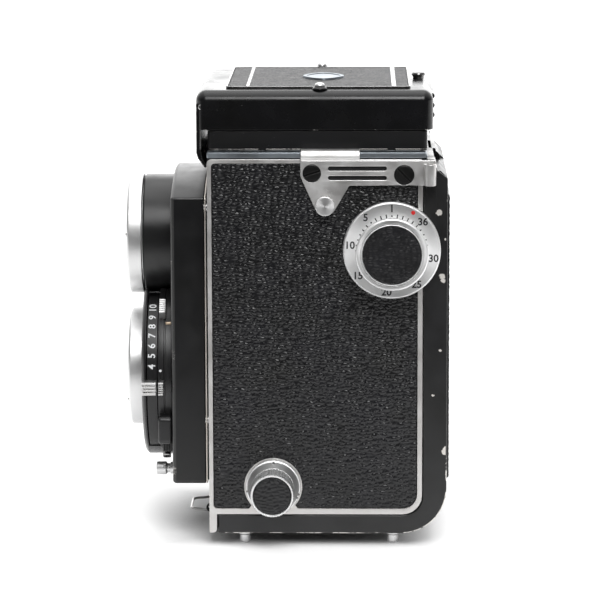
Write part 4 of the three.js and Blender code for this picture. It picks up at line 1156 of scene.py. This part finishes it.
def lid_loop(inset_x, inset_u, corner_x, corner_u, z):
    """A rectangle with elliptical corners, at a height."""
    x1, u0, u1 = L_HALF - inset_x, L0 + inset_u, L1 - inset_u
    loop = []
    for cx, cu, first in ((x1, u1, 0), (-x1, u1, 1), (-x1, u0, 2), (x1, u0, 3)):
        middle = (cx - copysign(corner_x, cx), cu - corner_u if cu == u1 else cu + corner_u)
        for k in range(7):
            a = (first + k / 6) * pi / 2
            loop.append((middle[0] + corner_x * cos(a), middle[1] + corner_u * sin(a), z))
    return loop


def lid_levels(inset, bottom):
    """From the lid's rim up over its rounded shoulder."""
    rx, ru, rz = ROUND_X - inset, ROUND_U - inset, ROUND_Z - inset
    levels = [lid_loop(inset, inset, rx, ru, z) for z in (bottom, bottom + 0.2, 132.4, L_TOP - inset - rz)]
    for k in range(1, 9):
        a = k / 8 * pi / 2
        share = 1 - cos(a)
        levels.append(lid_loop(inset + rx * share, inset + ru * share, max(rx * (1 - share), 0.01),
                               max(ru * (1 - share), 0.01), L_TOP - inset - rz + rz * sin(a)))
    return levels


outer_levels, inner_levels = lid_levels(0, LID.z0), lid_levels(SKIN, LID.z0)
rim_mark = [0] * (len(inner_levels) - 1) + [1, 1] + [0] * (len(outer_levels) - 2)
shell = loft(inner_levels[::-1] + outer_levels, rim_mark)
lug_line = rounded([(0.5, 135.9), (-1.8, 136.4, 1.2), (-3.3, 135.9, 1.2), (-3.4, 133.9, 1.2),
                    (-1.8, 133.4, 1.2), (0.5, 133.9)])
lugs = [prism("x", [lug_line], span, 0.25) for span in ((27.5, 34), (-34, -27.5))]
piece("hood_cover", "hood_lid", merged(shell, *lugs), [GLOSS, EDGE_LID], ["hood_lid"])

LL = LID_LEATHER
sheet_line = rectangle(LL.x0 + 0.1, LL.x1 - 0.1, LL.u0 + 0.1, LL.u1 - 0.1, 1.6)
border_line = rectangle(LL.x0 - 0.45, LL.x1 + 0.45, LL.u0 - 0.45, LL.u1 + 0.45, 2)
top_sheet = leather_panel("z", sheet_line, L_TOP - 0.1, LL.z1 - 0.05, 61, 0.24, 0.16, 1.0, 1.0)
cover("hood_cover_leather", "hood_lid", top_sheet, LID_GRAIN, ["lid_leather"])
border = prism("z", [border_line, sheet_line], (L_TOP - 0.2, LL.z1 + 0.02), 0.12)
strips = [prism("z", [rectangle(LL.x0, LL.x1, *span, 0.15, 2)], (L_TOP - 0.1, LL.z1 + 0.12))
          for span in ((11.65, 12.7), (55.7, 57.1))]
piece("hood_cover_border", "hood_lid", merged(border, *strips), DARK_STEEL)


def badge_line(half_x, half_u):
    """A plain pointed oval."""
    sides = [(cos(TAU * k / 64), sin(TAU * k / 64)) for k in range(64)]
    return [(1.6 + half_x * copysign(abs(c) ** 1.3, c), 34.8 + half_u * copysign(abs(d) ** 1.3, d))
            for c, d in sides]


badge = prism("z", [badge_line(9.4, 6.4)], (L_TOP, LL.z1 + 0.25), 0.2)
badge_rim = prism("z", [badge_line(9.4, 6.4), badge_line(9.4 * 0.86, 6.4 * 0.82)],
                  (LL.z1 + 0.2, LL.z1 + 0.5), 0.12)
piece("hood_plain_plate", "hood_lid", merged(badge, badge_rim), DECK_SILVER)
for end in ("left", "right"):
    node = Span(f"lid_stud_{end}")
    at = (node.x, node.u)
    stud = turned("z", at, [(0, L_TOP + 0.5), (1.55, L_TOP + 0.5), (1.55, 141.2, 0.3), (1.2, 141.8, 0.4),
                            (0, 142.0)], 48)
    foot = turned("z", at, [(0, L_TOP - 0.1), (2.3, L_TOP - 0.1), (2.3, L_TOP + 0.35, 0.2),
                            (1.8, L_TOP + 0.7, 0.1), (0, L_TOP + 0.7)], 48)
    piece(f"hood_stud_{end}", "hood_lid", stud, PIN_SILVER, [f"lid_stud_{end}"])
    piece(f"hood_stud_base_{end}", "hood_lid", foot, GLOSS)
catch = Span("lid_catch")
button = turned("z", (catch.x, catch.u), [(0, L_TOP), (1.7, L_TOP), (1.7, 140.6, 0.2), (2.15, 141.2, 0.3),
                                          (1.9, 141.9, 0.4), (0, 142.1)], 64)
piece("hood_catch_button", "hood_lid", button, DARK_STEEL, ["lid_catch"])
grips = [rod("x", (L1 - 0.15, z), 0.85, (-24, 24), 0.4, 24) for z in (137.0, 134.1, 131.2)]
piece("hood_grip_ribs", "hood_lid", merged(*grips), GLOSS)
tongue_line = rounded([(BASE.u1 - 0.3, 129.4), (BASE.u1 + 2.2, 129.4, 0.6), (BASE.u1 + 2.4, 127.4, 0.6),
                       (BASE.u1 + 0.6, 125.4, 0.5), (BASE.u1 - 0.3, 125.4)])
piece("hood_latch_tongue", "body", prism("x", [tongue_line], (-9, 9), 0.3), GLOSS)

leaf_t, leaf_z = 0.35, 129.0
leaf_line = rounded([(34, 6.2, 0.3), (15, 6.2, 1), (2.5, 13, 1), (2.5, 33.7, 1), (30.8, 62, 1),
                     (34, 62, 0.3)])
hem_line = rounded([(30.5, 9, 0.6), (16, 9, 0.6), (16, 10.2), (30.5, 10.2)])
for side, end in ((1, "left"), (-1, "right")):
    plate, hem = (prism("z", [[(side * x, u) for x, u in line]], (leaf_z - half, leaf_z + half), edge)
                  for line, half, edge in ((leaf_line, leaf_t, 0.12), (hem_line, leaf_t + 0.12, 0.1)))
    hinge_rod = rod("y", (leaf_z, side * 34), 0.8, (6.2, 62), 0.2, 24)
    piece(f"hood_flap_{end}", f"hood_leaf_{end}", merged(plate, hinge_rod, hem), SATIN,
          [f"hood_leaf_{end}"])
rear_line = rounded([(-31, 33, 1.5), (31, 33, 1.5), (31, 64, 0.3), (-31, 64, 0.3)])
rear = merged(prism("z", [rear_line], (131 - leaf_t, 131 + leaf_t), 0.12),
              rod("x", (64, 131), 0.8, (-31, 31), 0.2, 24))
piece("hood_flap_rear", "hood_leaf_rear", rear, SATIN, ["hood_leaf_rear"])

# ---- CAD nodes that show as they are, with their own finish ----

plain = {
    "body_shell": INSIDE, "focusing_screen": GROUND_GLASS, "reflex_mirror": MIRROR_FACE, "film_gate": SATIN,
    "taking_rear_cell": BARREL_BLACK, "taking_rear_lens": COATED, "film_roller_lower": STEEL,
    "film_roller_upper": STEEL, "takeup_spool": PLASTIC, "supply_spool": PLASTIC, "pressure_plate": SATIN,
    "magnifier_frame": SATIN, "magnifier_lens": CLEAR,
}
for name, finish in plain.items():
    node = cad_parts[name]
    node.data.materials.clear()
    node.data.materials.append(finish)

# ---- Floor, light and camera ----


def floor_paint():
    """White paper that glows as painted light: brighter towards the back, and switched off under the model,
    which paints a dark shadow there. For everything but the camera its front part is painted darker, so what
    the model reflects and takes up from the front is painted dim.
    """
    s = Shader("white paper", Roughness=0.9, Specular_IOR_Level=0.1, Emission_Color=(1, 1, 1, 1))
    along, across = (s.node("SeparateXYZ", {"Vector": s.place}, axis) for axis in (0, 1))
    looked_at = s.node("LightPath", {}, "Is Camera Ray")
    near = s.math("MAXIMUM", s.ramp(along, 0.11, 0.3, 1.0, 0.05), looked_at)
    far = s.ramp(along, -1.2, 0.0, 1.9, 1.0)
    # The glow stops under the model's footprint: a painted shadow beneath it, where the paper is left dark.
    outside = s.math("MAXIMUM", s.ramp(s.math("ABSOLUTE", along), 0.03, 0.042),
                     s.ramp(s.math("ABSOLUTE", across), 0.03, 0.046))
    painted_glow = s.math("MULTIPLY", s.math("MULTIPLY", near, s.math("MULTIPLY", far, outside)), 0.27)
    s.link(painted_glow, "Emission Strength")
    fleck = s.ramp(s.noise(2, 2), 0.3, 0.7, 0.98, 1.02)
    # Painted darkness: for all but camera rays the paper in front of the model is darker, which dims its
    # reflections and its bounce onto the model.
    painted_dark_front = s.math("MAXIMUM", s.ramp(along, 0.1, 0.28, 1.0, 0.06), looked_at)
    tone = s.math("MULTIPLY", s.math("MULTIPLY", painted_dark_front, 0.86), fleck)
    s.link(s.node("CombineColor", {"Red": tone, "Green": tone, "Blue": tone}), "Base Color")
    s.link(s.bump(s.noise(1.5, 3), 0.01), "Normal")
    return s.material


def floor_mesh():
    """A flat sheet of paper."""
    along, across = np.linspace(0.62, -3.2, 24), np.linspace(-2.6, 2.6, 18)
    points = [(x, y, 0) for x in along for y in across]
    faces = []
    for i in range(23):
        faces += [(k, k + 1, k + 19, k + 18) for k in range(i * 18, i * 18 + 17)]
    mesh = bpy.data.meshes.new("paper")
    mesh.from_pydata(points, [], faces)
    mesh.materials.append(floor_paint())
    sheet = bpy.data.objects.new("paper", mesh)
    bpy.context.scene.collection.objects.link(sheet)
    return sheet


floor_mesh()


def softbox(name, place_at, aim, size, radiance):
    light = bpy.data.lights.new(name, "AREA")
    light.shape, light.size, light.size_y = "RECTANGLE", *size
    light.energy = radiance * pi * size[0] * size[1]
    holder = bpy.data.objects.new(name, light)
    holder.location = place_at
    holder.rotation_euler = (Vector(aim) - Vector(place_at)).to_track_quat("-Z", "Y").to_euler()
    bpy.context.scene.collection.objects.link(holder)


softbox("key", (0.86, 0.16, 0.92), (0, 0, 0.08), (0.6, 0.6), 9)
softbox("top", (-0.25, 0, 1.6), (0, 0, 0), (1.2, 1.6), 1.3)

world = bpy.data.worlds.new("studio")
world.use_nodes = True
bpy.context.scene.world = world
background = world.node_tree.nodes["Background"]
background.inputs["Color"].default_value = (1, 1, 1, 1)
sky = Nodes(world.node_tree, "Generated")
lean = sky.node("VectorMath", {0: sky.place, 1: (-0.62, 0.0, 0.78)}, "Value", operation="DOT_PRODUCT")
upper = sky.ramp(lean, 0.1, 0.75, 0.09, 1.1)
backdrop = sky.ramp(sky.node("SeparateXYZ", {0: sky.place}), -0.7, -0.95, 0.0, 1.7)
seen = sky.node("LightPath", {}, "Is Camera Ray")
# The camera sees plain white, and the model reflects the softer studio.
strength = sky.node("Mix", {0: seen, 2: sky.math("ADD", upper, backdrop), 3: 1.0})
world.node_tree.links.new(strength, background.inputs["Strength"])
bpy.context.scene.view_settings.view_transform = "Standard"

camera = bpy.data.cameras.new("camera")
camera.lens, camera.sensor_width = 189, 36
camera.clip_start, camera.clip_end = 0.05, 20
viewer = bpy.data.objects.new("camera", camera)
# Columns: right, up and back, then the place. It looks along -x, slightly down.
viewer.matrix_world = Matrix((
    (-0.01876946, -0.16923794, 0.98539648, 0.979),
    (0.99981864, -0.0, 0.01904416, 0.02238918),
    (-0.003223, 0.98557522, 0.16920724, 0.23804413),
    (0, 0, 0, 1),
))
bpy.context.scene.collection.objects.link(viewer)
bpy.context.scene.camera = viewer
